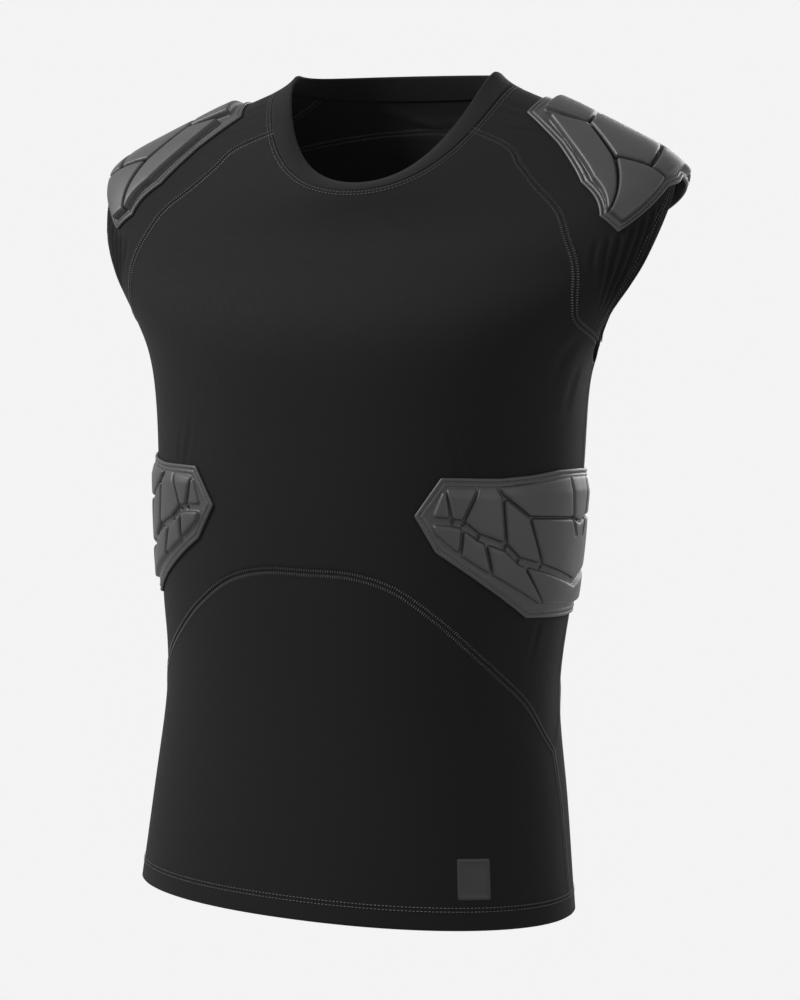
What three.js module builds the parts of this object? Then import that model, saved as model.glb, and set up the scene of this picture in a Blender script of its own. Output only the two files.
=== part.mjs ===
// Padded compression shirt, filled out as worn. Millimetres, +Z up, the front faces -Y and the
// wearer's left is +X. The origin is level with the tops of the shoulders, midway between them.
//
// Every piece lies on one surface, lofted through rings from the hem to the neck edge. A place on
// it is an angle round the body (0 at centre front, 90 at the wearer's left, 180 at centre back)
// and a level (0 at the hem, 15 at the neck edge; level n is row n of the ring table).

import * as THREE from 'three';

// Driving sizes
const CLOTH = 1.6;
const NECKBAND = { thick: 2.2, proud: 0.3 };
const LABEL = { thick: 0.8, seat: 0.5 };
const SEAM_GAP = 0.3;
const PAD_FLANGE = 1.6;
const GROOVE = 3.6;
const BEVEL = 2.5;
const LONGEST_PAD_FACET = 22;
const HEM_LEVEL = 0;
const NECK_SEAM_LEVEL = 14;
const NECK_EDGE_LEVEL = 15;

// Each row is a ring round the shirt: the heights of its front, side and back, its half width, its
// depths before and behind its middle, where that middle lies, the power of its superellipse, and
// the share by which its front is wider than its middle
const RING_COLUMNS = [
  'zFront', 'zSide', 'zBack', 'halfWidth', 'depthFront', 'depthBack', 'yMiddle', 'power', 'flare',
];
const RINGS = [
  [-688, -688, -688, 187, 122, 110, -12, 2.15, 0], // hem
  [-640, -640, -640, 181, 121, 109, -11, 2.2, 0],
  [-580, -580, -580, 174, 118, 106, -11, 2.2, 0],
  [-510, -510, -510, 167, 115, 102, -13, 2.25, 0], // waist
  [-440, -440, -440, 173, 119, 105, -13, 2.3, 0],
  [-370, -370, -370, 178, 124, 110, -13, 2.3, 0], // ribs
  [-300, -300, -300, 180, 127, 116, -13, 2.35, 0.01],
  [-245, -245, -245, 187, 127, 118, -14, 2.35, 0.05], // underarm
  [-211, -207, -200, 209, 118, 116, -11, 2.35, 0.065],
  [-186, -168, -155, 235, 108, 110, -3, 2.3, 0.04],
  [-171, -129, -113, 250, 103, 103, 3, 2.25, 0], // widest, at the sleeve edge
  [-156, -93, -80, 246, 98, 95, 9, 2.2, -0.02],
  [-141, -68, -58, 207, 95, 86, 13, 2.15, 0],
  [-128, -41, -42, 151, 96, 78, 17, 2.15, 0],
  [-115, -21, -23, 104, 95, 67, 20, 2.2, 0], // neck seam
  [-108, -10, -4, 89, 83, 57, 19, 2.1, 0], // neck edge
];

// How much fuller than a plain wave the rings rise and fall between side and middle
const RING_FULLNESS = 0.5;

// Seams of the wearer's left half. Angles count from centre front on the front and from centre
// back on the back, and the right half mirrors the left
const RAGLAN_FRONT = [
  { angle: 62, level: 7.72 },
  { angle: 53, level: 8.2 },
  { angle: 47.5, level: 8.85 },
  { angle: 43.5, level: 9.6 },
  { angle: 41.5, level: 10.4 },
  { angle: 42.5, level: 11.2 },
  { angle: 45.5, level: 12 },
  { angle: 50, level: 12.65 },
  { angle: 54.5, level: 13.15 },
  { angle: 54.5, level: NECK_SEAM_LEVEL },
];
const RAGLAN_BACK = [
  { angle: 56, level: 7.8 },
  { angle: 50, level: 8.4 },
  { angle: 45, level: 9.2 },
  { angle: 42, level: 10.2 },
  { angle: 42, level: 11.3 },
];
const RAGLAN_YOKE = [
  { angle: 42, level: 11.3 },
  { angle: 45.5, level: 12.1 },
  { angle: 50, level: 12.8 },
  { angle: 54.5, level: NECK_SEAM_LEVEL },
];
const YOKE_SEAM = [
  { angle: 0, level: 12.6 },
  { angle: 14, level: 12.45 },
  { angle: 28, level: 12 },
  { angle: 42, level: 11.3 },
];
const BELLY_SEAM = [
  { angle: 0, level: 4.34 },
  { angle: 12, level: 4.33 },
  { angle: 23, level: 4.2 },
  { angle: 34, level: 3.9 },
  { angle: 46, level: 3.52 },
  { angle: 58, level: 3.18 },
  { angle: 68, level: 2.92 },
  { angle: 78, level: 2.56 },
  { angle: 85.5, level: 2.35 },
];
const LOW_SIDE_SEAM = [
  { angle: 91.5, level: HEM_LEVEL },
  { angle: 90.5, level: 1 },
  { angle: 88.5, level: 1.75 },
  { angle: 85.5, level: 2.35 },
];

// The sleeve's edge: its middle, how far it reaches before and behind it and above and below it,
// the turn at which the front raglan seam ends on it, and the length of edge in degrees of turn
// that closes each pointed end of the sleeve. The high side seam runs up to its lowest point
const SLEEVE_EDGE = { angle: 98, level: 9.1, reach: 25, rise: 2.1, raglanTurn: -54, lap: 12 };

// Turns of the sleeve's edge between which it faces the top of the shoulder
const SHOULDER_TOP = { front: 55, back: 125 };

// Lengthwise creases of the cap sleeves. Across runs from 0 at the sleeve's edge to 1 at the
// raglan seam, and along from 0 at the front underarm over the shoulder to 1 at the back one
const SLEEVE_CREASES = [
  { across: 0.16, width: 0.07, depth: 1.4, from: 0.02, to: 0.36 },
  { across: 0.38, width: 0.08, depth: 1.7, from: 0.04, to: 0.3 },
  { across: 0.62, width: 0.08, depth: 1.1, from: 0.06, to: 0.26 },
  { across: 0.18, width: 0.08, depth: 1.3, from: 0.66, to: 0.97 },
  { across: 0.42, width: 0.09, depth: 1.6, from: 0.71, to: 0.95 },
  { across: 0.64, width: 0.08, depth: 1, from: 0.75, to: 0.93 },
];
const SLEEVE_ROWS = [0, 0.07, 0.16, 0.27, 0.38, 0.5, 0.62, 0.74, 0.87, 1];

// Numbers of facets along the seams and across the pieces
const FACETS = {
  raglanFront: 12, raglanBack: 7, raglanYoke: 4, shoulderTop: 6, underarm: 2,
  highSide: 8, lowSide: 5, belly: 15, neckband: 2, label: 2,
};

// A pad is drawn flat, scaled by its millimetres to a degree and to a level. Its outline and cells
// are given for the front half, up to the middle at 90 degrees, and the back half mirrors them.
// CurveUp is how much the body below it curves upward, as a share of how much it curves round
const PAD_MIDDLE = 90;
const SHOULDER_PAD = {
  perDegree: 1.7,
  perLevel: 50,
  curveUp: 0.8,
  seat: 1.6,
  height: 7,
  outline: [
    { angle: PAD_MIDDLE, level: 13.35 },
    { angle: 70, level: 13.35 },
    { angle: 63, level: 12.6 },
    { angle: 54, level: 11.7 },
    { angle: 52, level: 10.6 },
    { angle: 57, level: 10 },
    { angle: 76, level: 10.7 },
    { angle: 84, level: 10.72 },
    { angle: PAD_MIDDLE, level: 10.85 },
  ],
  corners: {
    neckMiddle: { angle: PAD_MIDDLE, level: 13.15 },
    neckFront: { angle: 75, level: 13.12 },
    neckFork: { angle: 72.8, level: 13.02 },
    upperMiddle: { angle: PAD_MIDDLE, level: 12.6 },
    upperFork: { angle: 76.6, level: 12.52 },
    rimHigh: { angle: 63, level: 12.25 },
    rimLow: { angle: 56.2, level: 11.3 },
    lowerMiddle: { angle: PAD_MIDDLE, level: 11.56 },
    lowerFork: { angle: 66.8, level: 11.78 },
    outerFork: { angle: 71.9, level: 11.22 },
    rimEnd: { angle: 55.4, level: 10.62 },
    tip: { angle: 58.2, level: 10.24 },
    edgeFork: { angle: 74.5, level: 10.86 },
    edgeMiddle: { angle: PAD_MIDDLE, level: 11 },
  },
  cells: [
    ['neckMiddle', 'neckFront', 'upperFork', 'upperMiddle'],
    ['upperMiddle', 'upperFork', 'lowerFork', 'outerFork', 'lowerMiddle'],
    ['lowerMiddle', 'outerFork', 'edgeFork', 'edgeMiddle'],
    ['neckFork', 'rimHigh', 'rimLow', 'rimEnd', 'lowerFork', 'upperFork'],
    ['lowerFork', 'rimEnd', 'tip', 'edgeFork', 'outerFork'],
  ],
};

// The side pad's wide channel runs back from its tip, past four of the forks. Its cells stand back
// from the channel's middle, above it or below it
const SIDE_CHANNEL = 0.03;
const above = ({ angle, level }) => ({ angle, level: level + SIDE_CHANNEL });
const below = ({ angle, level }) => ({ angle, level: level - SIDE_CHANNEL });
const CHANNEL = {
  start: { angle: 31.6, level: 4.99 },
  first: { angle: 36.9, level: 4.98 },
  second: { angle: 39.8, level: 4.96 },
  third: { angle: 43.9, level: 4.83 },
  notch: { angle: 46, level: 4.8 },
  fourth: { angle: 52.2, level: 4.72 },
  fifth: { angle: 56.7, level: 4.57 },
  lowFork: { angle: 59, level: 4.54 },
  sixth: { angle: 66.1, level: 4.49 },
  middle: { angle: PAD_MIDDLE, level: 4.29 },
};
const SIDE_PAD = {
  perDegree: 2.4,
  perLevel: 70,
  curveUp: 0.25,
  seat: 0.9,
  height: 4.6,
  outline: [
    { angle: PAD_MIDDLE, level: 5.57 },
    { angle: 73, level: 5.56 },
    { angle: 60, level: 5.5 },
    { angle: 49.5, level: 5.46 },
    { angle: 33.8, level: 5.45 },
    { angle: 27.5, level: 5.03 },
    { angle: 33.2, level: 4.64 },
    { angle: 62.2, level: 3.92 },
    { angle: PAD_MIDDLE, level: 3.9 },
  ],
  corners: {
    startAbove: above(CHANNEL.start),
    firstAbove: above(CHANNEL.first),
    secondAbove: above(CHANNEL.second),
    thirdAbove: above(CHANNEL.third),
    fourthAbove: above(CHANNEL.fourth),
    fifthAbove: above(CHANNEL.fifth),
    sixthAbove: above(CHANNEL.sixth),
    middleAbove: above(CHANNEL.middle),
    startBelow: below(CHANNEL.start),
    firstBelow: below(CHANNEL.first),
    secondBelow: below(CHANNEL.second),
    thirdBelow: below(CHANNEL.third),
    notchBelow: below(CHANNEL.notch),
    fourthBelow: below(CHANNEL.fourth),
    fifthBelow: below(CHANNEL.fifth),
    forkBelow: below(CHANNEL.lowFork),
    sixthBelow: below(CHANNEL.sixth),
    middleBelow: below(CHANNEL.middle),
    topCorner: { angle: 34.8, level: 5.34 },
    topFirst: { angle: 43.7, level: 5.37 },
    topSecond: { angle: 48.6, level: 5.38 },
    topBend: { angle: 62, level: 5.43 },
    topThird: { angle: 80.4, level: 5.49 },
    topMiddle: { angle: PAD_MIDDLE, level: 5.49 },
    fork: { angle: 50.3, level: 5.28 },
    bend: { angle: 59.5, level: 5.05 },
    crossing: { angle: 83.1, level: 5.03 },
    waist: { angle: PAD_MIDDLE, level: 4.98 },
    footCorner: { angle: 32.8, level: 4.84 },
    footFirst: { angle: 39.5, level: 4.61 },
    footSecond: { angle: 48.6, level: 4.4 },
    footThird: { angle: 68, level: 4.07 },
    footMiddle: { angle: PAD_MIDDLE, level: 4.03 },
  },
  cells: [
    ['startAbove', 'firstAbove', 'topCorner'],
    ['firstAbove', 'secondAbove', 'topFirst', 'topCorner'],
    ['secondAbove', 'thirdAbove', 'fourthAbove', 'fork', 'topSecond', 'topFirst'],
    ['fourthAbove', 'fifthAbove', 'sixthAbove', 'bend', 'fork'],
    ['bend', 'crossing', 'topThird', 'topBend', 'topSecond', 'fork'],
    ['topMiddle', 'topThird', 'crossing', 'waist'],
    ['waist', 'crossing', 'bend', 'sixthAbove', 'middleAbove'],
    ['startBelow', 'footCorner', 'footFirst', 'secondBelow', 'firstBelow'],
    ['secondBelow', 'footFirst', 'footSecond', 'notchBelow', 'thirdBelow'],
    ['notchBelow', 'footSecond', 'footThird', 'forkBelow', 'fifthBelow', 'fourthBelow'],
    ['middleBelow', 'sixthBelow', 'forkBelow', 'footThird', 'footMiddle'],
  ],
};

// The blank label, low on the wearer's left
const LABEL_PLACE = { from: 41, to: 50.5, low: 0.52, high: 1.12 };

// Colours
const INK_CLOTH = { color: 0x1d1d1f, roughness: 0.86, metalness: 0 };
const PAD_FILM = { color: 0x3f4042, roughness: 0.5, metalness: 0 };
const LABEL_CLOTH = { color: 0x2b2b2d, roughness: 0.7, metalness: 0 };

// The surface
function splineBends(values) {
  const last = values.length - 1;
  const ratio = values.map(() => 0);
  const partial = values.map(() => 0);
  const bends = values.map(() => 0);
  for (let i = 1; i < last; i += 1) {
    const turn = 6 * (values[i + 1] - 2 * values[i] + values[i - 1]);
    ratio[i] = 1 / (4 - ratio[i - 1]);
    partial[i] = (turn - partial[i - 1]) * ratio[i];
  }
  for (let i = last - 1; i > 0; i -= 1) bends[i] = partial[i] - ratio[i] * bends[i + 1];
  return bends;
}

const RING_BENDS = RING_COLUMNS.map((name, column) => splineBends(RINGS.map((row) => row[column])));

function ringAt(level) {
  const i = THREE.MathUtils.clamp(Math.floor(level), 0, RINGS.length - 2);
  const t = level - i;
  const s = 1 - t;
  const size = {};
  RING_COLUMNS.forEach((name, column) => {
    const bends = RING_BENDS[column];
    const chord = s * RINGS[i][column] + t * RINGS[i + 1][column];
    size[name] = chord + ((s ** 3 - s) * bends[i] + (t ** 3 - t) * bends[i + 1]) / 6;
  });
  return size;
}

function bodyPoint(angle, level) {
  const size = ringAt(level);
  const s = Math.sin(THREE.MathUtils.degToRad(angle));
  const c = Math.cos(THREE.MathUtils.degToRad(angle));
  const reach = (Math.abs(s) ** size.power + Math.abs(c) ** size.power) ** (-1 / size.power);
  const depth = (size.depthFront + size.depthBack) / 2 + (size.depthFront - size.depthBack) / 2 * c;
  const front = Math.max(c, 0) ** 2;
  const back = Math.max(-c, 0) ** 2;
  const z = size.zSide
    + (size.zFront - size.zSide) * front * (1 + RING_FULLNESS * (1 - front))
    + (size.zBack - size.zSide) * back * (1 + RING_FULLNESS * (1 - back));
  const across = size.halfWidth * (1 + size.flare * c);
  return new THREE.Vector3(across * s * reach, size.yMiddle - depth * c * reach, z);
}

function bodyNormal(angle, level) {
  const step = { angle: 1, level: 0.02 };
  const round = bodyPoint(angle + step.angle, level).sub(bodyPoint(angle - step.angle, level));
  const up = bodyPoint(angle, level + step.level).sub(bodyPoint(angle, level - step.level));
  return round.cross(up).normalize();
}

const offSurface = ({ angle, level }, distance) => (
  bodyPoint(angle, level).addScaledVector(bodyNormal(angle, level), distance)
);

// Rows of places
function alongSeam(rows, facets) {
  const curve = new THREE.SplineCurve(rows.map((row) => new THREE.Vector2(row.angle, row.level)));
  return Array.from({ length: facets + 1 }, (none, i) => {
    const at = curve.getPoint(i / facets);
    return { angle: at.x, level: at.y };
  });
}

function straight(from, to, facets) {
  return Array.from({ length: facets + 1 }, (none, i) => ({
    angle: THREE.MathUtils.lerp(from.angle, to.angle, i / facets),
    level: THREE.MathUtils.lerp(from.level, to.level, i / facets),
  }));
}

function sleeveEdge(turn) {
  const { angle, level, reach, rise } = SLEEVE_EDGE;
  const t = THREE.MathUtils.degToRad(turn);
  return { angle: angle - reach * Math.cos(t), level: level + rise * Math.sin(t) };
}

const alongSleeveEdge = (from, to, facets) => (
  Array.from({ length: facets + 1 }, (none, i) => sleeveEdge(from + (to - from) * i / facets))
);

const join = (first, ...rest) => rest.reduce((all, next) => all.concat(next.slice(1)), first);
const reversed = (places) => [...places].reverse();
const turned = (places, whole) => places.map(({ angle, level }) => ({ angle: whole - angle, level }));
const rightOfFront = (places) => turned(places, 0);
const fromBack = (places) => turned(places, 180);
const rightOfBack = (places) => turned(places, 360);
const bothSides = (leftToMiddle, mirror) => join(leftToMiddle, reversed(mirror(leftToMiddle)));

// Seams that pieces share
const underarmTurn = -90;
const backRaglanTurn = -180 - SLEEVE_EDGE.raglanTurn;
const raglanFront = alongSeam([sleeveEdge(SLEEVE_EDGE.raglanTurn), ...RAGLAN_FRONT], FACETS.raglanFront);
const raglanBack = alongSeam([sleeveEdge(backRaglanTurn), ...fromBack(RAGLAN_BACK)], FACETS.raglanBack);
const raglanYoke = fromBack(alongSeam(RAGLAN_YOKE, FACETS.raglanYoke));
const bellySeam = alongSeam(BELLY_SEAM, FACETS.belly);
const lowSide = alongSeam(LOW_SIDE_SEAM, FACETS.lowSide);

// The back's arched seam repeats the front's, spread over the rest of the way round
const bellyEnd = BELLY_SEAM[BELLY_SEAM.length - 1].angle;
const backArch = reversed(fromBack(bellySeam.map(({ angle, level }) => (
  { angle: angle * (180 - bellyEnd) / bellyEnd, level }
))));

function levelOnArch(angle) {
  const i = backArch.findIndex((place) => place.angle >= angle);
  const t = (angle - backArch[i - 1].angle) / (backArch[i].angle - backArch[i - 1].angle);
  return THREE.MathUtils.lerp(backArch[i - 1].level, backArch[i].level, t);
}

const sideFoot = { angle: SLEEVE_EDGE.angle, level: levelOnArch(SLEEVE_EDGE.angle) };
const archWrap = [...backArch.filter((place) => place.angle < sideFoot.angle), sideFoot];
const archBack = [sideFoot, ...backArch.filter((place) => place.angle > sideFoot.angle)];
const yokeFacets = archBack.length - 1 - FACETS.underarm - FACETS.raglanBack;
const yokeSeam = reversed(fromBack(alongSeam(YOKE_SEAM, yokeFacets)));

const highSide = straight(sideFoot, sleeveEdge(underarmTurn), FACETS.highSide);
const underarmFront = alongSleeveEdge(underarmTurn, SLEEVE_EDGE.raglanTurn, FACETS.underarm);
const underarmBack = alongSleeveEdge(underarmTurn, backRaglanTurn, FACETS.underarm);

// A patch is a grid of places that fills the space between four edges, each from its left or
// lower end. It blends their levels, and how far round they lie from its middle angle in
// proportion to the body's width there, so that its columns stay inside seams that curve in
function patch(middle, bottom, top, left, right, rows = left.map((place, j) => j / (left.length - 1))) {
  const widthAt = (level) => ringAt(level).halfWidth;
  const measure = (edge) => edge.map(({ angle, level }) => (
    { round: (angle - middle) * widthAt(level), level }
  ));
  const [south, north, west, east] = [bottom, top, left, right].map(measure);
  const last = bottom.length - 1;
  const blend = (key, i, j, u, v) => {
    const rising = (1 - v) * south[i][key] + v * north[i][key];
    const going = (1 - u) * west[j][key] + u * east[j][key];
    const corners = (1 - u) * ((1 - v) * south[0][key] + v * north[0][key])
      + u * ((1 - v) * south[last][key] + v * north[last][key]);
    return rising + going - corners;
  };
  return rows.map((v, j) => bottom.map((foot, i) => {
    const u = i / last;
    const level = blend('level', i, j, u, v);
    return { u, v, level, angle: middle + blend('round', i, j, u, v) / widthAt(level) };
  }));
}

function solid(points, faces) {
  const geometry = new THREE.BufferGeometry().setFromPoints(points);
  geometry.setIndex(faces.flat());
  geometry.computeVertexNormals();
  return geometry;
}

// Each edge point steps half the seam's gap into its piece, square to the edges that meet there
function edgeSteps(loop) {
  return loop.map(({ point, normal }, i) => {
    const before = loop[(i + loop.length - 1) % loop.length].point;
    const after = loop[(i + 1) % loop.length].point;
    const inBefore = normal.clone().cross(point.clone().sub(before).normalize());
    const inAfter = normal.clone().cross(after.clone().sub(point).normalize());
    const sharpest = 0.4;
    const spread = Math.max(1 + inBefore.dot(inAfter), sharpest);
    return inBefore.add(inAfter).multiplyScalar(SEAM_GAP / 2 / spread);
  });
}

// A wall of cloth over a patch, open at its four edges or closed into a band
function wall(places, { thick = CLOTH, proud = 0, band = false, lift = () => 0 } = {}) {
  const rows = places.length;
  const columns = places[0].length;
  const outer = places.map((row) => row.map((place) => offSurface(place, proud + lift(place))));
  const inner = places.map((row) => row.map((place) => offSurface(place, proud + lift(place) - thick)));
  const bottom = places[0].map((place, i) => [0, i]);
  const top = places[0].map((place, i) => [rows - 1, i]).reverse();
  const east = places.slice(1, -1).map((row, j) => [j + 1, columns - 1]);
  const west = places.slice(1, -1).map((row, j) => [j + 1, 0]).reverse();
  const loops = band ? [bottom, top] : [[...bottom, ...east, ...top, ...west]];

  for (const loop of loops) {
    const steps = edgeSteps(loop.map(([j, i]) => (
      { point: outer[j][i], normal: bodyNormal(places[j][i].angle, places[j][i].level) }
    )));
    loop.forEach(([j, i], k) => {
      outer[j][i].add(steps[k]);
      inner[j][i].add(steps[k]);
    });
  }

  const back = rows * columns;
  const index = ([j, i]) => j * columns + i;
  const points = [...outer.flat(), ...inner.flat()];
  const faces = [];

  // Each quad is cut along its shorter diagonal
  const quad = (a, b, c, d) => {
    const shorter = points[a].distanceTo(points[c]) < points[b].distanceTo(points[d]);
    if (shorter) faces.push([a, b, c], [a, c, d]);
    else faces.push([b, c, d], [b, d, a]);
  };
  for (let j = 0; j < rows - 1; j += 1) {
    for (let i = 0; i < (band ? columns : columns - 1); i += 1) {
      const [a, b] = [[j, i], [j, (i + 1) % columns]].map(index);
      const [c, d] = [[j + 1, (i + 1) % columns], [j + 1, i]].map(index);
      quad(a, b, c, d);
      quad(back + b, back + a, back + d, back + c);
    }
  }
  for (const loop of loops) {
    loop.map(index).forEach((a, k, all) => {
      const b = all[(k + 1) % all.length];
      quad(back + a, back + b, b, a);
    });
  }
  return solid(points, faces);
}

// Body panels
const neckFrontAngle = raglanFront[raglanFront.length - 1].angle;
const neckBackAngle = raglanYoke[raglanYoke.length - 1].angle;

const neckSeam = (from, to, facets) => (
  straight({ angle: from, level: NECK_SEAM_LEVEL }, { angle: to, level: NECK_SEAM_LEVEL }, facets)
);
const neckFacets = 2 * (FACETS.belly + archWrap.length - 1 - FACETS.underarm - FACETS.raglanFront);
const neckSeamFront = neckSeam(-neckFrontAngle, neckFrontAngle, neckFacets);
const neckSeamBack = neckSeam(neckBackAngle, 360 - neckBackAngle, 2 * yokeFacets);
const shoulderTop = neckSeam(neckFrontAngle, neckBackAngle, FACETS.shoulderTop);

function frontUpper() {
  const bottom = bothSides(rightOfFront(reversed(join(bellySeam, archWrap))), rightOfFront);
  const armhole = join(underarmFront, raglanFront);
  const top = join(rightOfFront(armhole), neckSeamFront, reversed(armhole));
  return wall(patch(0, bottom, top, rightOfFront(highSide), highSide));
}

function frontLower() {
  const hemEnd = lowSide[0].angle;
  const bottom = straight({ angle: -hemEnd, level: HEM_LEVEL }, { angle: hemEnd, level: HEM_LEVEL },
    2 * FACETS.belly);
  const top = bothSides(rightOfFront(reversed(bellySeam)), rightOfFront);
  return wall(patch(0, bottom, top, rightOfFront(lowSide), lowSide));
}

function backLower() {
  const top = bothSides(join(archWrap, archBack), rightOfBack);
  const hemEnd = lowSide[0].angle;
  const bottom = straight({ angle: hemEnd, level: HEM_LEVEL },
    { angle: 360 - hemEnd, level: HEM_LEVEL }, top.length - 1);
  return wall(patch(180, bottom, top, lowSide, rightOfBack(lowSide)));
}

function backUpper() {
  const top = bothSides(join(underarmBack, raglanBack, yokeSeam), rightOfBack);
  return wall(patch(180, bothSides(archBack, rightOfBack), top, highSide, rightOfBack(highSide)));
}

function backYoke() {
  return wall(patch(180, bothSides(yokeSeam, rightOfBack), neckSeamBack, raglanYoke,
    rightOfBack(raglanYoke)));
}

function creaseLift({ u, v }) {
  const soft = 0.05;
  return SLEEVE_CREASES.reduce((lift, { across, width, depth, from, to }) => {
    const begun = THREE.MathUtils.smoothstep(u, from - soft, from + soft);
    const left = 1 - THREE.MathUtils.smoothstep(u, to - soft, to + soft);
    return lift - depth * begun * left * Math.exp(-(((v - across) / width) ** 2));
  }, 0);
}

function sleeve() {
  const { raglanTurn, lap } = SLEEVE_EDGE;
  const backTurn = 180 - raglanTurn;
  const edge = join(
    alongSleeveEdge(raglanTurn + lap, SHOULDER_TOP.front, FACETS.raglanFront),
    alongSleeveEdge(SHOULDER_TOP.front, SHOULDER_TOP.back, FACETS.shoulderTop),
    alongSleeveEdge(SHOULDER_TOP.back, backTurn - lap, FACETS.raglanBack + FACETS.raglanYoke),
  );
  const seam = join(raglanFront, shoulderTop, reversed(raglanYoke), reversed(raglanBack));
  const frontEnd = SLEEVE_ROWS.map((v) => sleeveEdge(raglanTurn + lap * (1 - v)));
  const backEnd = SLEEVE_ROWS.map((v) => sleeveEdge(backTurn - lap * (1 - v)));
  return wall(patch(SLEEVE_EDGE.angle, edge, seam, frontEnd, backEnd, SLEEVE_ROWS),
    { lift: creaseLift });
}

function neckband() {
  const seam = join(neckSeamFront, shoulderTop, neckSeamBack, reversed(rightOfBack(shoulderTop)));
  const rows = Array.from({ length: FACETS.neckband + 1 }, (none, j) => (
    NECK_SEAM_LEVEL + (NECK_EDGE_LEVEL - NECK_SEAM_LEVEL) * j / FACETS.neckband
  ));
  const places = rows.map((level) => seam.slice(1).map(({ angle }) => ({ angle, level })));
  return wall(places, { ...NECKBAND, band: true });
}

function label() {
  const { from, to, low, high } = LABEL_PLACE;
  const row = (level) => straight({ angle: from, level }, { angle: to, level }, FACETS.label);
  const places = [low, (low + high) / 2, high].map(row);
  return wall(places, { thick: LABEL.thick, proud: LABEL.seat + LABEL.thick });
}

// Pads
function insetLoop(loop, distance) {
  return loop.map((point, i) => {
    const before = point.clone().sub(loop[(i + loop.length - 1) % loop.length]).normalize();
    const after = loop[(i + 1) % loop.length].clone().sub(point).normalize();
    const inward = new THREE.Vector2(-before.y - after.y, before.x + after.x);
    return point.clone().addScaledVector(inward, distance / (1 + before.dot(after)));
  });
}

// Leaves out the points that lie on a straight stretch
function bendsOf(loop) {
  return loop.filter((point, i) => {
    const before = loop[(i + loop.length - 1) % loop.length];
    const after = loop[(i + 1) % loop.length];
    return Math.abs(THREE.ShapeUtils.area([before, point, after])) > 1e-6;
  });
}

function meanRadius(loop) {
  const round = loop.reduce((sum, point, i) => sum + point.distanceTo(loop[(i + 1) % loop.length]), 0);
  return 2 * THREE.ShapeUtils.area(loop) / round;
}

// Splits every edge that is too long at its middle, the same way for both facets that share it.
// A length up the body counts only in part, where the body curves less that way
function refine(points, faces, curveUp) {
  const middles = new Map();
  const middle = (a, b) => {
    const across = points[b].x - points[a].x;
    const up = points[b].y - points[a].y;
    if (Math.hypot(across, curveUp * up) <= LONGEST_PAD_FACET) return undefined;
    const key = a < b ? `${a} ${b}` : `${b} ${a}`;
    if (!middles.has(key)) {
      middles.set(key, points.length);
      points.push(points[a].clone().lerp(points[b], 0.5));
    }
    return middles.get(key);
  };
  const split = faces.flatMap((face) => {
    const [a, b, c] = face;
    const [ab, bc, ca] = [middle(a, b), middle(b, c), middle(c, a)];
    const cuts = [ab, bc, ca].filter((cut) => cut !== undefined).length;
    if (cuts === 0) return [face];
    if (cuts === 3) return [[a, ab, ca], [ab, b, bc], [ca, bc, c], [ab, bc, ca]];
    if (cuts === 1 && ab !== undefined) return [[a, ab, c], [ab, b, c]];
    if (cuts === 1 && bc !== undefined) return [[b, bc, a], [bc, c, a]];
    if (cuts === 1) return [[c, ca, b], [ca, a, b]];
    if (ab === undefined) return [[c, ca, bc], [a, b, bc], [a, bc, ca]];
    if (bc === undefined) return [[a, ab, ca], [b, c, ca], [b, ca, ab]];
    return [[b, bc, ab], [c, a, ab], [c, ab, bc]];
  });
  return split.length === faces.length ? faces : refine(points, split, curveUp);
}

function padSolid({ perDegree, perLevel, curveUp, seat, height, outline, corners, cells }) {
  const flat = ({ angle, level }) => new THREE.Vector2(angle * perDegree, level * perLevel);
  const mirrored = (places) => reversed(turned(places, 2 * PAD_MIDDLE));
  const points = [];
  const faces = [];
  const addLoop = (loop, z) => loop.map(({ x, y }) => points.push(new THREE.Vector3(x, y, z)) - 1);
  const fill = (loops, up) => {
    const all = loops.flat();
    const [contour, ...holes] = loops.map((loop) => loop.map((i) => points[i]));
    for (const face of THREE.ShapeUtils.triangulateShape(contour, holes)) {
      const [a, b, c] = face.map((i) => all[i]);
      const rising = THREE.ShapeUtils.area([points[a], points[b], points[c]]) > 0;
      faces.push(rising === up ? [a, b, c] : [a, c, b]);
    }
  };
  const ribbon = (lower, upper) => lower.forEach((a, i) => {
    const j = (i + 1) % lower.length;
    faces.push([a, lower[j], upper[j]], [a, upper[j], upper[i]]);
  });

  const rim = bendsOf([...outline, ...mirrored(outline).slice(1, -1)].map(flat));
  const back = addLoop(rim, 0);
  const front = addLoop(rim, PAD_FLANGE);
  fill([back], false);
  ribbon(back, front);

  const halfCells = cells.map((names) => names.map((name) => corners[name]));
  const wholeCells = halfCells.flatMap((cell) => {
    const crosses = cell[0].angle === PAD_MIDDLE;
    return crosses ? [[...cell, ...mirrored(cell).slice(1, -1)]] : [cell, mirrored(cell)];
  });
  const feet = wholeCells.map((cell) => {
    const foot = insetLoop(bendsOf(cell.map(flat)), GROOVE / 2);
    const radius = meanRadius(foot);
    const fullRadius = 8;
    const rise = (height - PAD_FLANGE) * Math.min(1, radius / fullRadius);
    const lower = addLoop(foot, PAD_FLANGE);
    const upper = addLoop(insetLoop(foot, Math.min(BEVEL, radius / 2)), PAD_FLANGE + rise);
    ribbon(lower, upper);
    fill([upper], true);
    return lower;
  });
  fill([front, ...feet], true);

  const fine = refine(points, faces, curveUp);
  const placed = points.map(({ x, y, z }) => (
    offSurface({ angle: x / perDegree, level: y / perLevel }, seat + z)
  ));
  return solid(placed, fine);
}

// The wearer's right side mirrors the left
function mirror(geometry) {
  const right = geometry.clone().scale(-1, 1, 1);
  const index = right.getIndex();
  for (let i = 0; i < index.count; i += 3) {
    const second = index.getX(i + 1);
    index.setX(i + 1, index.getX(i + 2));
    index.setX(i + 2, second);
  }
  right.computeVertexNormals();
  return right;
}

const shirt = new THREE.Group();

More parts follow.
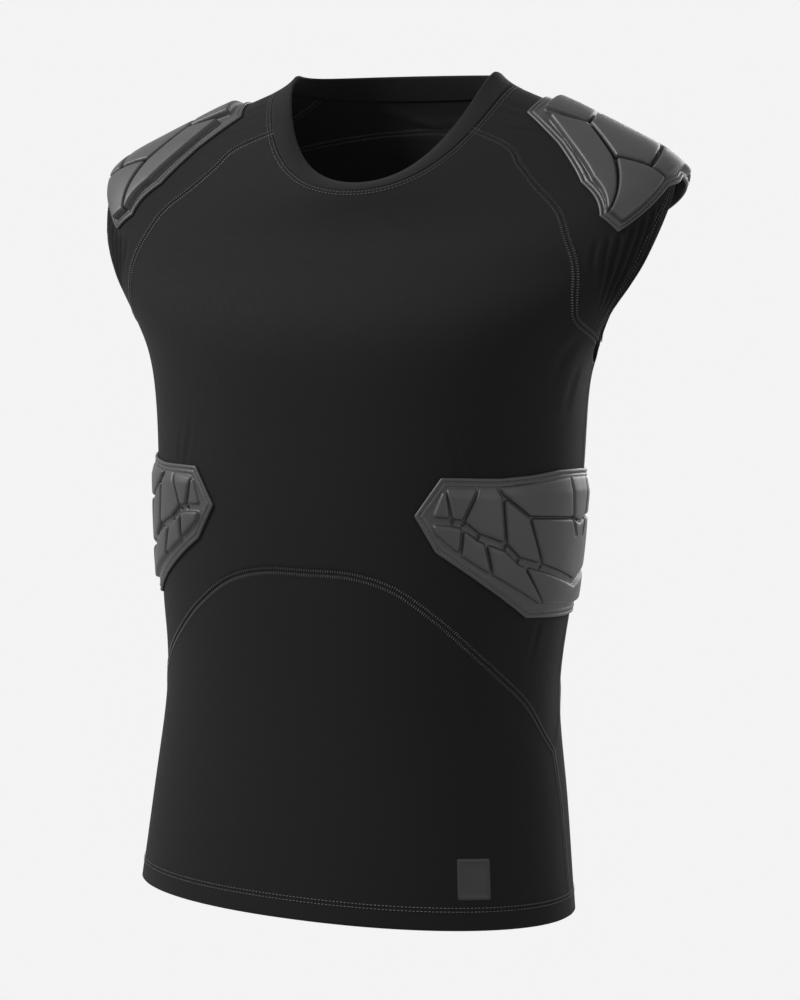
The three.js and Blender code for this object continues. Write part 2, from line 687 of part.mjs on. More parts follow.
function add(name, geometry, finish) {
  const piece = new THREE.Mesh(geometry, new THREE.MeshStandardMaterial(finish));
  piece.name = name;
  shirt.add(piece);
}

function addPair(name, geometry, finish) {
  add(`${name}_left`, geometry, finish);
  add(`${name}_right`, mirror(geometry), finish);
}

add('front_upper', frontUpper(), INK_CLOTH);
add('front_lower', frontLower(), INK_CLOTH);
add('back_yoke', backYoke(), INK_CLOTH);
add('back_upper', backUpper(), INK_CLOTH);
add('back_lower', backLower(), INK_CLOTH);
addPair('sleeve', sleeve(), INK_CLOTH);
add('neckband', neckband(), INK_CLOTH);
addPair('shoulder_pad', padSolid(SHOULDER_PAD), PAD_FILM);
addPair('side_pad', padSolid(SIDE_PAD), PAD_FILM);
add('label', label(), LABEL_CLOTH);

export default shirt;
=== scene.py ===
import math

import bpy
import numpy as np
from mathutils import Matrix, Vector
from mathutils.geometry import delaunay_2d_cdt
from mathutils.kdtree import KDTree


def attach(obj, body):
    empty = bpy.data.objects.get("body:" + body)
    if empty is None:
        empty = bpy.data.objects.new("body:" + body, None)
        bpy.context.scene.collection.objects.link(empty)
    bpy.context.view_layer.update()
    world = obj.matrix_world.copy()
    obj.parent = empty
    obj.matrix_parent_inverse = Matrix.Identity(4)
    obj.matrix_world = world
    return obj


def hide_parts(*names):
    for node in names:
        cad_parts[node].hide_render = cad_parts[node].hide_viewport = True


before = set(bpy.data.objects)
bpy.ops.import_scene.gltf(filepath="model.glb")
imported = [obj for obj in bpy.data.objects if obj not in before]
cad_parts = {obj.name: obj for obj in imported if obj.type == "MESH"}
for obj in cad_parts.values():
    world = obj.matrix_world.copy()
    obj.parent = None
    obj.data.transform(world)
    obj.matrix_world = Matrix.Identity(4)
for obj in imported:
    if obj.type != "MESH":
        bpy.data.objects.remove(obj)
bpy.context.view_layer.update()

# Sizes are in millimetres and places on the cloth are (angle, level), as in the part's source: the
# angle runs round the body from centre front, and the level up the rings below from the hem (0) to
# the neck edge (15). Meshes are made in metres.
MM = 0.001

# Driving sizes
CLOTH = 0.9
HEM = {"turn": 16.0, "thick": 1.5}
ARM_HEM = {"turn": 9.0, "thick": 1.5}
NECKBAND = {"thick": 2.0, "proud": 0.35, "puff": 0.35, "rows": 16, "columns": 300}
DETAIL = 7
PANEL_ROWS = {"high": 104, "low": 84, "yoke": 18, "sleeve": 58}
HEM_LEVEL, NECK_SEAM_LEVEL, NECK_EDGE_LEVEL = 0, 14, 15

RING_COLUMNS = (
    "z_front", "z_side", "z_back", "half_width", "depth_front", "depth_back", "y_middle", "power",
    "flare",
)
RINGS = np.array([
    [-688, -688, -688, 187, 122, 110, -12, 2.15, 0],  # hem
    [-640, -640, -640, 181, 121, 109, -11, 2.2, 0],
    [-580, -580, -580, 174, 118, 106, -11, 2.2, 0],
    [-510, -510, -510, 167, 115, 102, -13, 2.25, 0],  # waist
    [-440, -440, -440, 173, 119, 105, -13, 2.3, 0],
    [-370, -370, -370, 178, 124, 110, -13, 2.3, 0],  # ribs
    [-300, -300, -300, 180, 127, 116, -13, 2.35, 0.01],
    [-245, -245, -245, 187, 127, 118, -14, 2.35, 0.05],  # underarm
    [-211, -207, -200, 209, 118, 116, -11, 2.35, 0.065],
    [-186, -168, -155, 235, 108, 110, -3, 2.3, 0.04],
    [-171, -129, -113, 250, 103, 103, 3, 2.25, 0],  # widest, at the sleeve edge
    [-156, -93, -80, 246, 98, 95, 9, 2.2, -0.02],
    [-141, -68, -58, 207, 95, 86, 13, 2.15, 0],
    [-128, -41, -42, 151, 96, 78, 17, 2.15, 0],
    [-115, -21, -23, 104, 95, 67, 20, 2.2, 0],  # neck seam
    [-108, -10, -4, 89, 83, 57, 19, 2.1, 0],  # neck edge
])
RING_FULLNESS = 0.5

# Seams of the wearer's left half, as rows of (angle, level): from centre front on the front and from
# centre back on the back
RAGLAN_FRONT = [
    (63.2, 7.75), (55.5, 8.2), (50.2, 8.85), (46.4, 9.6), (44, 10.4), (44, 11.2), (45.8, 12),
    (50, 12.65), (54.5, 13.15), (54.5, NECK_SEAM_LEVEL),
]
RAGLAN_BACK = [(56, 7.8), (50, 8.4), (45, 9.2), (42, 10.2), (42, 11.3)]
RAGLAN_YOKE = [(42, 11.3), (45.5, 12.1), (50, 12.8), (54.5, NECK_SEAM_LEVEL)]
YOKE_SEAM = [(0, 12.6), (14, 12.45), (28, 12), (42, 11.3)]
BELLY_SEAM = [
    (0, 4.34), (12, 4.33), (23, 4.2), (34, 3.9), (46, 3.52), (58, 3.18), (68, 2.92), (78, 2.56),
    (85.5, 2.35),
]
LOW_SIDE_SEAM = [(91.5, HEM_LEVEL), (90.5, 1), (88.5, 1.75), (85.5, 2.35)]
SLEEVE_EDGE = {"angle": 98, "level": 9.1, "reach": 25, "rise": 2.1, "raglan_turn": -54, "lap": 12}
SHOULDER_TOP = {"front": 55, "back": 125}
FACETS = {
    name: DETAIL * count
    for name, count in {
        "raglan_front": 12, "raglan_back": 7, "raglan_yoke": 4, "shoulder_top": 6, "underarm": 2,
        "belly": 15,
    }.items()
}


# The body's surface
def spline_bends(rows):
    """Second differences of the natural cubic splines through the columns of a table."""
    count = len(rows)
    system = np.eye(count)
    turns = np.zeros_like(rows)
    for i in range(1, count - 1):
        system[i, i - 1:i + 2] = 1, 4, 1
        turns[i] = 6 * (rows[i + 1] - 2 * rows[i] + rows[i - 1])
    return np.linalg.solve(system, turns)


RING_BENDS = spline_bends(RINGS)


def ring_at(level):
    level = np.asarray(level, float)
    i = np.clip(np.floor(level).astype(int), 0, len(RINGS) - 2)
    t = (level - i)[..., None]
    s = 1 - t
    chord = s * RINGS[i] + t * RINGS[i + 1]
    sizes = chord + ((s**3 - s) * RING_BENDS[i] + (t**3 - t) * RING_BENDS[i + 1]) / 6
    return dict(zip(RING_COLUMNS, np.moveaxis(sizes, -1, 0)))


def body_point(places):
    size = ring_at(places[..., 1])
    s, c = np.sin(np.radians(places[..., 0])), np.cos(np.radians(places[..., 0]))
    power = size["power"]
    reach = (np.abs(s) ** power + np.abs(c) ** power) ** (-1 / power)
    mean_depth = (size["depth_front"] + size["depth_back"]) / 2
    depth = mean_depth + (size["depth_front"] - size["depth_back"]) / 2 * c
    front, back = np.maximum(c, 0) ** 2, np.maximum(-c, 0) ** 2
    z = (
        size["z_side"]
        + (size["z_front"] - size["z_side"]) * front * (1 + RING_FULLNESS * (1 - front))
        + (size["z_back"] - size["z_side"]) * back * (1 + RING_FULLNESS * (1 - back))
    )
    across = size["half_width"] * (1 + size["flare"] * c)
    return np.stack([across * s * reach, size["y_middle"] - depth * c * reach, z], -1)


def unit(vectors):
    return vectors / np.maximum(np.linalg.norm(vectors, axis=-1, keepdims=True), 1e-9)


def body_normal(places):
    angle_step, level_step = np.array([1.0, 0.0]), np.array([0.0, 0.02])
    round_it = body_point(places + angle_step) - body_point(places - angle_step)
    up = body_point(places + level_step) - body_point(places - level_step)
    return unit(np.cross(round_it, up))


# Rows of places
def along_seam(rows, count):
    """A Catmull-Rom curve through the rows, in count steps."""
    rows = np.array(rows, float)
    at = np.linspace(0, len(rows) - 1, count + 1)
    i = np.clip(np.floor(at).astype(int), 0, len(rows) - 2)
    t = (at - i)[:, None]
    p0, p1 = rows[np.maximum(i - 1, 0)], rows[i]
    p2, p3 = rows[i + 1], rows[np.minimum(i + 2, len(rows) - 1)]
    v0, v1 = (p2 - p0) / 2, (p3 - p1) / 2
    return (
        (2 * p1 - 2 * p2 + v0 + v1) * t**3 + (3 * p2 - 3 * p1 - 2 * v0 - v1) * t**2 + v0 * t + p1
    )


def straight(start, end, count):
    return np.linspace(start, end, count + 1)


def sleeve_edge(turns):
    t = np.radians(turns)
    return np.stack([
        SLEEVE_EDGE["angle"] - SLEEVE_EDGE["reach"] * np.cos(t),
        SLEEVE_EDGE["level"] + SLEEVE_EDGE["rise"] * np.sin(t),
    ], -1)


def join(first, *rest):
    return np.concatenate([first, *(part[1:] for part in rest)])


def turned(places, whole):
    """The places mirrored: from the left of centre front to the right (0) or the back (180)."""
    return np.stack([whole - places[:, 0], places[:, 1]], -1)


def both_sides(left_to_middle, whole):
    return join(left_to_middle, turned(left_to_middle, whole)[::-1])


RAGLAN_TURN = SLEEVE_EDGE["raglan_turn"]
BACK_RAGLAN_TURN = -180 - RAGLAN_TURN
UNDERARM_TURN = -90
raglan_front = along_seam([sleeve_edge(RAGLAN_TURN), *RAGLAN_FRONT], FACETS["raglan_front"])
raglan_back = along_seam(
    [sleeve_edge(BACK_RAGLAN_TURN), *turned(np.array(RAGLAN_BACK), 180)], FACETS["raglan_back"]
)
raglan_yoke = turned(along_seam(RAGLAN_YOKE, FACETS["raglan_yoke"]), 180)
belly_seam = along_seam(BELLY_SEAM, FACETS["belly"])
low_side = along_seam(LOW_SIDE_SEAM, PANEL_ROWS["low"])

BELLY_END = BELLY_SEAM[-1][0]
spread_belly = belly_seam * [(180 - BELLY_END) / BELLY_END, 1]
back_arch = turned(spread_belly, 180)[::-1]
side_angle = SLEEVE_EDGE["angle"]
side_foot = np.array([side_angle, np.interp(side_angle, back_arch[:, 0], back_arch[:, 1])])
arch_wrap = np.concatenate([back_arch[back_arch[:, 0] < side_angle], [side_foot]])
arch_back = np.concatenate([[side_foot], back_arch[back_arch[:, 0] > side_angle]])
yoke_facets = len(arch_back) - 1 - FACETS["underarm"] - FACETS["raglan_back"]
yoke_seam = turned(along_seam(YOKE_SEAM, yoke_facets), 180)[::-1]
high_side = straight(side_foot, sleeve_edge(UNDERARM_TURN), PANEL_ROWS["high"])
underarm_front = sleeve_edge(straight(UNDERARM_TURN, RAGLAN_TURN, FACETS["underarm"]))
underarm_back = sleeve_edge(straight(UNDERARM_TURN, BACK_RAGLAN_TURN, FACETS["underarm"]))
NECK_FRONT_ANGLE, NECK_BACK_ANGLE = raglan_front[-1, 0], raglan_yoke[-1, 0]


def neck_seam(start, end, count):
    return straight((start, NECK_SEAM_LEVEL), (end, NECK_SEAM_LEVEL), count)


neck_facets = 2 * (
    FACETS["belly"] + len(arch_wrap) - 1 - FACETS["underarm"] - FACETS["raglan_front"]
)
neck_front = neck_seam(-NECK_FRONT_ANGLE, NECK_FRONT_ANGLE, neck_facets)
neck_back = neck_seam(NECK_BACK_ANGLE, 360 - NECK_BACK_ANGLE, 2 * yoke_facets)
shoulder_top = neck_seam(NECK_FRONT_ANGLE, NECK_BACK_ANGLE, FACETS["shoulder_top"])


def patch(middle, bottom, top, left, right):
    """A grid of places between four edges, each from its left or lower end. It blends levels, and
    distances round from the middle angle in proportion to the body's width there."""
    def measure(edge):
        width = ring_at(edge[:, 1])["half_width"]
        return np.stack([(edge[:, 0] - middle) * width, edge[:, 1]], -1)

    south, north, west, east = map(measure, (bottom, top, left, right))
    u = np.linspace(0, 1, len(bottom))[None, :, None]
    v = np.linspace(0, 1, len(left))[:, None, None]
    rising = (1 - v) * south[None] + v * north[None]
    going = (1 - u) * west[:, None] + u * east[:, None]
    corners = (1 - u) * ((1 - v) * south[0] + v * north[0])
    corners = corners + u * ((1 - v) * south[-1] + v * north[-1])
    blended = rising + going - corners
    level = blended[..., 1]
    return np.stack([middle + blended[..., 0] / ring_at(level)["half_width"], level], -1)


# The panels' places
def panel_places():
    hem_end = low_side[0, 0]
    armhole = join(underarm_front, raglan_front)
    front_top = join(turned(armhole, 0), neck_front, armhole[::-1])
    front_bottom = both_sides(turned(join(belly_seam, arch_wrap)[::-1], 0), 0)
    low_front_top = both_sides(turned(belly_seam[::-1], 0), 0)
    low_back_top = both_sides(join(arch_wrap, arch_back), 360)
    back_top = both_sides(join(underarm_back, raglan_back, yoke_seam), 360)
    hem_front = straight((-hem_end, HEM_LEVEL), (hem_end, HEM_LEVEL), len(low_front_top) - 1)
    hem_back = straight((hem_end, HEM_LEVEL), (360 - hem_end, HEM_LEVEL), len(low_back_top) - 1)
    yoke_side = along_seam(raglan_yoke, PANEL_ROWS["yoke"])
    return {
        "front_upper": patch(0, front_bottom, front_top, turned(high_side, 0), high_side),
        "front_lower": patch(0, hem_front, low_front_top, turned(low_side, 0), low_side),
        "back_lower": patch(180, hem_back, low_back_top, low_side, turned(low_side, 360)),
        "back_upper": patch(
            180, both_sides(arch_back, 360), back_top, high_side, turned(high_side, 360)
        ),
        "back_yoke": patch(
            180, both_sides(yoke_seam, 360), neck_back, yoke_side, turned(yoke_side, 360)
        ),
    }


def sleeve_places():
    lap, back_turn = SLEEVE_EDGE["lap"], 180 - RAGLAN_TURN
    count = FACETS["raglan_back"] + FACETS["raglan_yoke"]
    edge = join(
        sleeve_edge(straight(RAGLAN_TURN + lap, SHOULDER_TOP["front"], FACETS["raglan_front"])),
        sleeve_edge(straight(SHOULDER_TOP["front"], SHOULDER_TOP["back"], FACETS["shoulder_top"])),
        sleeve_edge(straight(SHOULDER_TOP["back"], back_turn - lap, count)),
    )
    seam = join(raglan_front, shoulder_top, raglan_yoke[::-1], raglan_back[::-1])
    front_end = sleeve_edge(straight(RAGLAN_TURN + lap, RAGLAN_TURN, PANEL_ROWS["sleeve"]))
    back_end = sleeve_edge(straight(back_turn - lap, back_turn, PANEL_ROWS["sleeve"]))
    return patch(SLEEVE_EDGE["angle"], edge, seam, front_end, back_end)


# Meshes
def mesh_piece(name, points, faces, material, smooth=True, uv=None):
    """A closed or open mesh from points in millimetres."""
    mesh = bpy.data.meshes.new(name)
    mesh.from_pydata((np.asarray(points) * MM).tolist(), [], [list(map(int, f)) for f in faces])
    if uv is not None:
        layer = mesh.uv_layers.new(name="cloth")
        corners = np.zeros(len(mesh.loops), np.int32)
        mesh.loops.foreach_get("vertex_index", corners)
        layer.data.foreach_set("uv", (np.asarray(uv)[corners] * MM).astype(np.float32).ravel())
    mesh.polygons.foreach_set("use_smooth", [smooth] * len(mesh.polygons))
    mesh.validate()
    mesh.update()
    mesh.materials.append(material)
    piece = bpy.data.objects.new(name, mesh)
    bpy.context.scene.collection.objects.link(piece)
    return piece


def mirrored(points):
    return np.asarray(points) * [-1, 1, 1]


def grid_faces(rows, columns, start=0, closed=False, flip=False):
    j, i = np.meshgrid(
        np.arange(rows - 1), np.arange(columns if closed else columns - 1), indexing="ij"
    )
    k = (i + 1) % columns
    quads = np.stack([j * columns + i, j * columns + k, (j + 1) * columns + k, (j + 1) * columns + i], -1)
    quads = quads.reshape(-1, 4) + start
    return quads[:, ::-1] if flip else quads


# Creases and seams in the cloth
class Relief:
    """Soft troughs along curves on the cloth and low ridges along the seams."""

    def __init__(self):
        self.creases = []
        self.seam_points = []

    def crease(self, line, width, depth, start=0.3, end=0.3):
        """A trough along points in millimetres that comes up over the first and last shares."""
        self.creases.append((line, width, depth, start, end))

    def seam(self, line):
        self.seam_points.append(line)

    def ready(self):
        line = np.concatenate([spaced(points, 0.6) for points in self.seam_points])
        self.tree = KDTree(len(line))
        for i, point in enumerate(line):
            self.tree.insert(point, i)
        self.tree.balance()

    def lift(self, points):
        flat = points.reshape(-1, 3)
        lift = np.zeros(len(flat))
        for line, width, depth, start, end in self.creases:
            margin = 3.5 * width
            near = ((flat > line.min(0) - margin) & (flat < line.max(0) + margin)).all(1)
            if not near.any():
                continue
            apart = np.linalg.norm(flat[near][:, None] - line[None], axis=2)
            along = apart.argmin(1) / (len(line) - 1)
            across = apart.min(1) / width
            grown = np.clip(along / start, 0, 1) * np.clip((1 - along) / end, 0, 1)
            grown = grown * grown * (3 - 2 * grown)
            shape = np.exp(-(across**2)) - 0.4 * np.exp(-((across - 1.9) ** 2))
            lift[near] -= depth * grown * shape
        away = np.array([self.tree.find(point)[2] for point in flat])
        ridge = SEAM_RIDGE["height"] * np.exp(-((away / SEAM_RIDGE["half_width"]) ** 4))
        groove = SEAM_RIDGE["groove"] * np.exp(-((away / SEAM_RIDGE["groove_width"]) ** 2))
        return (lift + ridge - groove).reshape(points.shape[:-1])


SEAM_RIDGE = {"height": 0.35, "half_width": 3.2, "groove": 0.3, "groove_width": 0.6}


def spaced(line, step):
    """The line again, with points about step apart."""
    run = np.concatenate([[0], np.cumsum(np.linalg.norm(np.diff(line, axis=0), axis=1))])
    at = np.linspace(0, run[-1], max(2, math.ceil(run[-1] / step) + 1))
    return np.stack([np.interp(at, run, line[:, k]) for k in range(line.shape[1])], -1)


relief = Relief()


def on_body(rows, count=60):
    """A curve on the body through a few places, as points."""
    return body_point(along_seam(rows, count))


# Front creases are given for the left side and mirrored
CREASES = [
    # cap sleeve, front: from under the pad to the underarm
    ([(71.5, 10.45), (70.6, 9.5), (73, 8.5), (77.5, 7.9)], 1.5, 1.5, 0.12, 0.4),
    ([(68.2, 10.4), (67.4, 9.4), (70, 8.5), (75, 7.85)], 1.7, 1.8, 0.1, 0.4),
    ([(64.8, 10.25), (64.2, 9.4), (67, 8.55), (72.5, 7.9)], 1.7, 1.9, 0.1, 0.4),
    ([(61.4, 10.1), (61, 9.35), (64, 8.6), (70, 7.95)], 1.8, 1.9, 0.1, 0.4),
    ([(58, 9.95), (57.8, 9.3), (61, 8.65), (67, 8)], 1.8, 1.7, 0.12, 0.45),
    ([(55, 9.9), (54.9, 9.4), (57.5, 8.8), (62.5, 8.25)], 1.9, 1.3, 0.15, 0.55),
    ([(52.2, 10), (51.6, 9.6), (53.2, 9.1), (56.5, 8.7)], 2.0, 0.7, 0.3, 0.6),
    # cap sleeve, back
    ([(126, 10.3), (128, 9.4), (126, 8.4), (121, 7.8)], 1.8, 1.1, 0.15, 0.5),
    ([(130.5, 10.2), (133, 9.2), (131, 8.3), (126, 7.75)], 1.9, 1.2, 0.12, 0.45),
    ([(122.5, 10.5), (123.8, 9.4), (122, 8.5), (118, 8)], 1.7, 0.9, 0.15, 0.5),
    ([(121.5, 10.6), (127, 10.6), (138, 9.4), (133, 8.3)], 2.4, 0.9, 0.5, 0.5),
    # puckers between the shoulder pad and the neck
    ([(67, 13.4), (66, 13.75), (64.5, 14)], 1.9, 0.8, 0.1, 0.7),
    ([(71.5, 13.42), (71, 13.75), (70.5, 14)], 1.8, 0.9, 0.1, 0.7),
    ([(64, 13), (62, 13.3), (60, 13.5)], 1.8, 0.7, 0.1, 0.7),
    ([(108, 13.4), (108.5, 13.7), (109.5, 14)], 1.9, 0.8, 0.1, 0.7),
    ([(113, 13.2), (115, 13.5), (117, 13.7)], 1.9, 0.7, 0.1, 0.7),
    # above and below the side pads
    ([(39, 5.5), (36.4, 5.8), (34.6, 6.15)], 2.4, 0.8, 0.1, 0.7),
    ([(42.5, 5.5), (41, 5.72), (39.6, 5.95)], 2.0, 0.6, 0.1, 0.7),
    ([(141, 5.5), (143, 5.8), (146, 6.1)], 2.4, 0.8, 0.1, 0.7),
    ([(70, 3.86), (69, 3.6), (67.5, 3.35)], 3.2, 0.6, 0.2, 0.7),
    ([(112, 3.86), (113.5, 3.6), (115, 3.3)], 3.2, 0.7, 0.2, 0.7),
    # underarm
    ([(79, 7), (76, 6.5), (75, 6.05)], 4.5, 0.9, 0.3, 0.7),
    ([(118, 7.1), (121, 6.5), (122, 6)], 4.5, 1.0, 0.3, 0.7),
    ([(70, 7.6), (66, 7), (64, 6.3)], 5.5, 0.8, 0.3, 0.7),
    ([(128, 7.7), (133, 7), (135, 6.2)], 5.5, 0.9, 0.3, 0.7),
    # small of the back
    ([(152, 3.3), (163, 3.05), (176, 3.15)], 7, 0.9, 0.5, 0.5),
    ([(158, 2.75), (168, 2.6), (178, 2.7)], 8, 0.7, 0.5, 0.5),
]
# Two soft folds of the yoke, seen through the neck
YOKE_FOLDS = [
    ([(172, 12.75), (182, 13.1), (194, 13.55), (204, 13.7)], 3.4, 1.5, 0.4, 0.4),
    ([(160, 12.7), (167, 13), (174, 13.25)], 3.0, 1.1, 0.4, 0.5),
]


def lay_creases():
    for places, *sizes in CREASES:
        line = on_body(places)
        relief.crease(line, *sizes)
        relief.crease(mirrored(line), *sizes)
    for places, *sizes in YOKE_FOLDS:
        relief.crease(on_body(places), *sizes)


# The seams as lines on the body
def seam_lines():
    lines = {
        "raglan_front": raglan_front,
        "raglan_back": join(raglan_back, raglan_yoke),
        "high_side": high_side,
        "low_side": low_side,
    }
    paired = {name: body_point(places) for name, places in lines.items()}
    single = {
        "belly": body_point(both_sides(turned(belly_seam[::-1], 0), 0)),
        "back_arch": body_point(both_sides(join(arch_wrap, arch_back), 360)),
        "yoke": body_point(both_sides(yoke_seam, 360)),
    }
    both = {f"{name}_{side}": points if side == "left" else mirrored(points)
            for name, points in paired.items() for side in ("left", "right")}
    return {**both, **single}


# Materials
def tone(grey, tint=0.0):
    """A near-neutral colour of a linear grey, a little bluer with tint."""
    return (grey, grey, grey * (1 + tint), 1.0)


class Nodes:
    """Builds a material's nodes, one call to a node."""

    def __init__(self, name):
        self.material = bpy.data.materials.new(name)
        self.material.use_nodes = True
        self.tree = self.material.node_tree
        self.shader = next(n for n in self.tree.nodes if n.type == "BSDF_PRINCIPLED")

    def add(self, kind, inputs=None, **settings):
        node = self.tree.nodes.new(kind)
        for key, value in settings.items():
            setattr(node, key, value)
        for key, value in (inputs or {}).items():
            if isinstance(value, bpy.types.NodeSocket):
                self.tree.links.new(value, node.inputs[key])
            else:
                node.inputs[key].default_value = value
        return node

    def link(self, socket, name):
        self.tree.links.new(socket, self.shader.inputs[name])

    def set(self, **values):
        for key, value in values.items():
            self.shader.inputs[key.replace("_", " ")].default_value = value

    def millimetres(self, uv=False):
        """Places in millimetres, on the cloth's own grid or in the object."""
        coordinates = self.add("ShaderNodeTexCoord").outputs["UV" if uv else "Object"]
        return self.add(
            "ShaderNodeVectorMath", {0: coordinates, 1: (1 / MM,) * 3}, operation="MULTIPLY"
        ).outputs[0]

    def scaled(self, vector, by):
        return self.add("ShaderNodeVectorMath", {0: vector, 1: by}, operation="MULTIPLY").outputs[0]

    def noise(self, vector, size, detail=3.0, roughness=0.55):
        """Noise whose blotches are about that many units across."""
        inputs = {"Vector": vector, "Scale": 1 / size, "Detail": detail, "Roughness": roughness}
        return self.add("ShaderNodeTexNoise", inputs).outputs["Fac"]

    def between(self, fac, low, high, from_low=0.3, from_high=0.7):
        inputs = {"Value": fac, "From Min": from_low, "From Max": from_high, "To Min": low, "To Max": high}
        return self.add("ShaderNodeMapRange", inputs).outputs["Result"]

    def blend(self, fac, first, second):
        inputs = {"Factor": fac, "A": first, "B": second}
        node = self.add("ShaderNodeMix", data_type="RGBA")
        for key, value in inputs.items():
            socket = next(s for s in node.inputs if s.name == key and s.type == ("VALUE" if key == "Factor" else "RGBA"))
            if isinstance(value, bpy.types.NodeSocket):
                self.tree.links.new(value, socket)
            else:
                socket.default_value = value
        return next(s for s in node.outputs if s.type == "RGBA")

    def bump(self, height, strength, distance, normal=None):
        inputs = {"Height": height, "Strength": strength, "Distance": distance * MM}
        if normal is not None:
            inputs["Normal"] = normal
        return self.add("ShaderNodeBump", inputs).outputs["Normal"]

    def wave(self, value, period):
        """A ridge wave of a coordinate, from 0 to 1, once in each period."""
        turns = self.add("ShaderNodeMath", {0: value, 1: 2 * math.pi / period}, operation="MULTIPLY")
        wave = self.add("ShaderNodeMath", {0: turns.outputs[0]}, operation="SINE")
        half = self.add("ShaderNodeMath", {0: wave.outputs[0], 1: 0.5, 2: 0.5}, operation="MULTIPLY_ADD")
        return half.outputs[0]


def knit_material(name, grey, wale=0.75, course=0.6, sheen=0.3):
    """Fine matt stretch knit: wales and courses on the cloth's own grid, with faint streaks."""
    nodes = Nodes(name)
    place = nodes.millimetres(uv=True)
    apart = nodes.add("ShaderNodeSeparateXYZ", {0: place})
    wales = nodes.wave(apart.outputs["X"], wale)
    courses = nodes.wave(apart.outputs["Y"], course)
    loops = nodes.add("ShaderNodeMath", {0: wales, 1: courses}, operation="MULTIPLY").outputs[0]
    streaks = nodes.noise(nodes.scaled(place, (1.0, 0.12, 1.0)), 1.6)
    blotches = nodes.noise(place, 60.0)
    shade = nodes.blend(nodes.between(streaks, 0, 1), tone(grey * 0.86, 0.03), tone(grey * 1.14, 0.03))
    shade = nodes.blend(nodes.between(blotches, 0, 0.5), shade, tone(grey * 0.92, 0.05))
    nodes.link(shade, "Base Color")
    nodes.link(nodes.between(streaks, 0.78, 0.9), "Roughness")
    fine = nodes.bump(loops, 0.35, 0.25)
    nodes.link(nodes.bump(nodes.noise(place, 9.0), 0.25, 0.5, fine), "Normal")
    nodes.set(Sheen_Weight=sheen, Sheen_Roughness=0.5, Sheen_Tint=tone(0.5))
    nodes.set(Specular_IOR_Level=0.1)
    return nodes.material


def film_material(name, grey, roughness=0.5):
    """Satin film over foam: a fine grain, faint clouds and a soft gloss."""
    nodes = Nodes(name)
    place = nodes.millimetres()
    grain = nodes.noise(place, 0.9, detail=4.0, roughness=0.65)
    clouds = nodes.noise(place, 26.0)
    shade = nodes.blend(nodes.between(clouds, 0, 1), tone(grey * 0.88), tone(grey * 1.1))
    shade = nodes.blend(nodes.between(grain, 0, 0.55), shade, tone(grey * 1.25))
    nodes.link(shade, "Base Color")
    nodes.link(nodes.between(clouds, roughness - 0.05, roughness + 0.07), "Roughness")
    pitted = nodes.bump(grain, 0.3, 0.12)
    nodes.link(nodes.bump(nodes.noise(place, 14.0), 0.3, 0.6, pitted), "Normal")
    nodes.set(Specular_IOR_Level=0.32, Coat_Weight=0.04, Coat_Roughness=0.3)
    return nodes.material


def thread_material(name, grey):
    nodes = Nodes(name)
    twist = nodes.noise(nodes.scaled(nodes.millimetres(), (1, 1, 2.5)), 0.5)
    nodes.link(nodes.blend(nodes.between(twist, 0, 1), tone(grey * 0.8), tone(grey * 1.2)), "Base Color")
    nodes.link(nodes.bump(twist, 0.4, 0.1), "Normal")
    nodes.set(Roughness=0.6, Sheen_Weight=0.2)
    return nodes.material


# Shells of cloth
def front_height():
    levels = np.linspace(0, NECK_EDGE_LEVEL, 301)
    line = body_point(np.stack([np.full_like(levels, 90.0), levels], -1))
    return levels, np.concatenate([[0], np.cumsum(np.linalg.norm(np.diff(line, axis=0), axis=1))])


HEIGHT_LEVELS, HEIGHTS = front_height()


def cloth_grid(places, middle):
    """Each place's distance round and up the cloth, in millimetres."""
    width = ring_at(places[..., 1])["half_width"]
    round_it = np.radians(places[..., 0] - middle) * width
    return np.stack([round_it, np.interp(places[..., 1], HEIGHT_LEVELS, HEIGHTS)], -1)


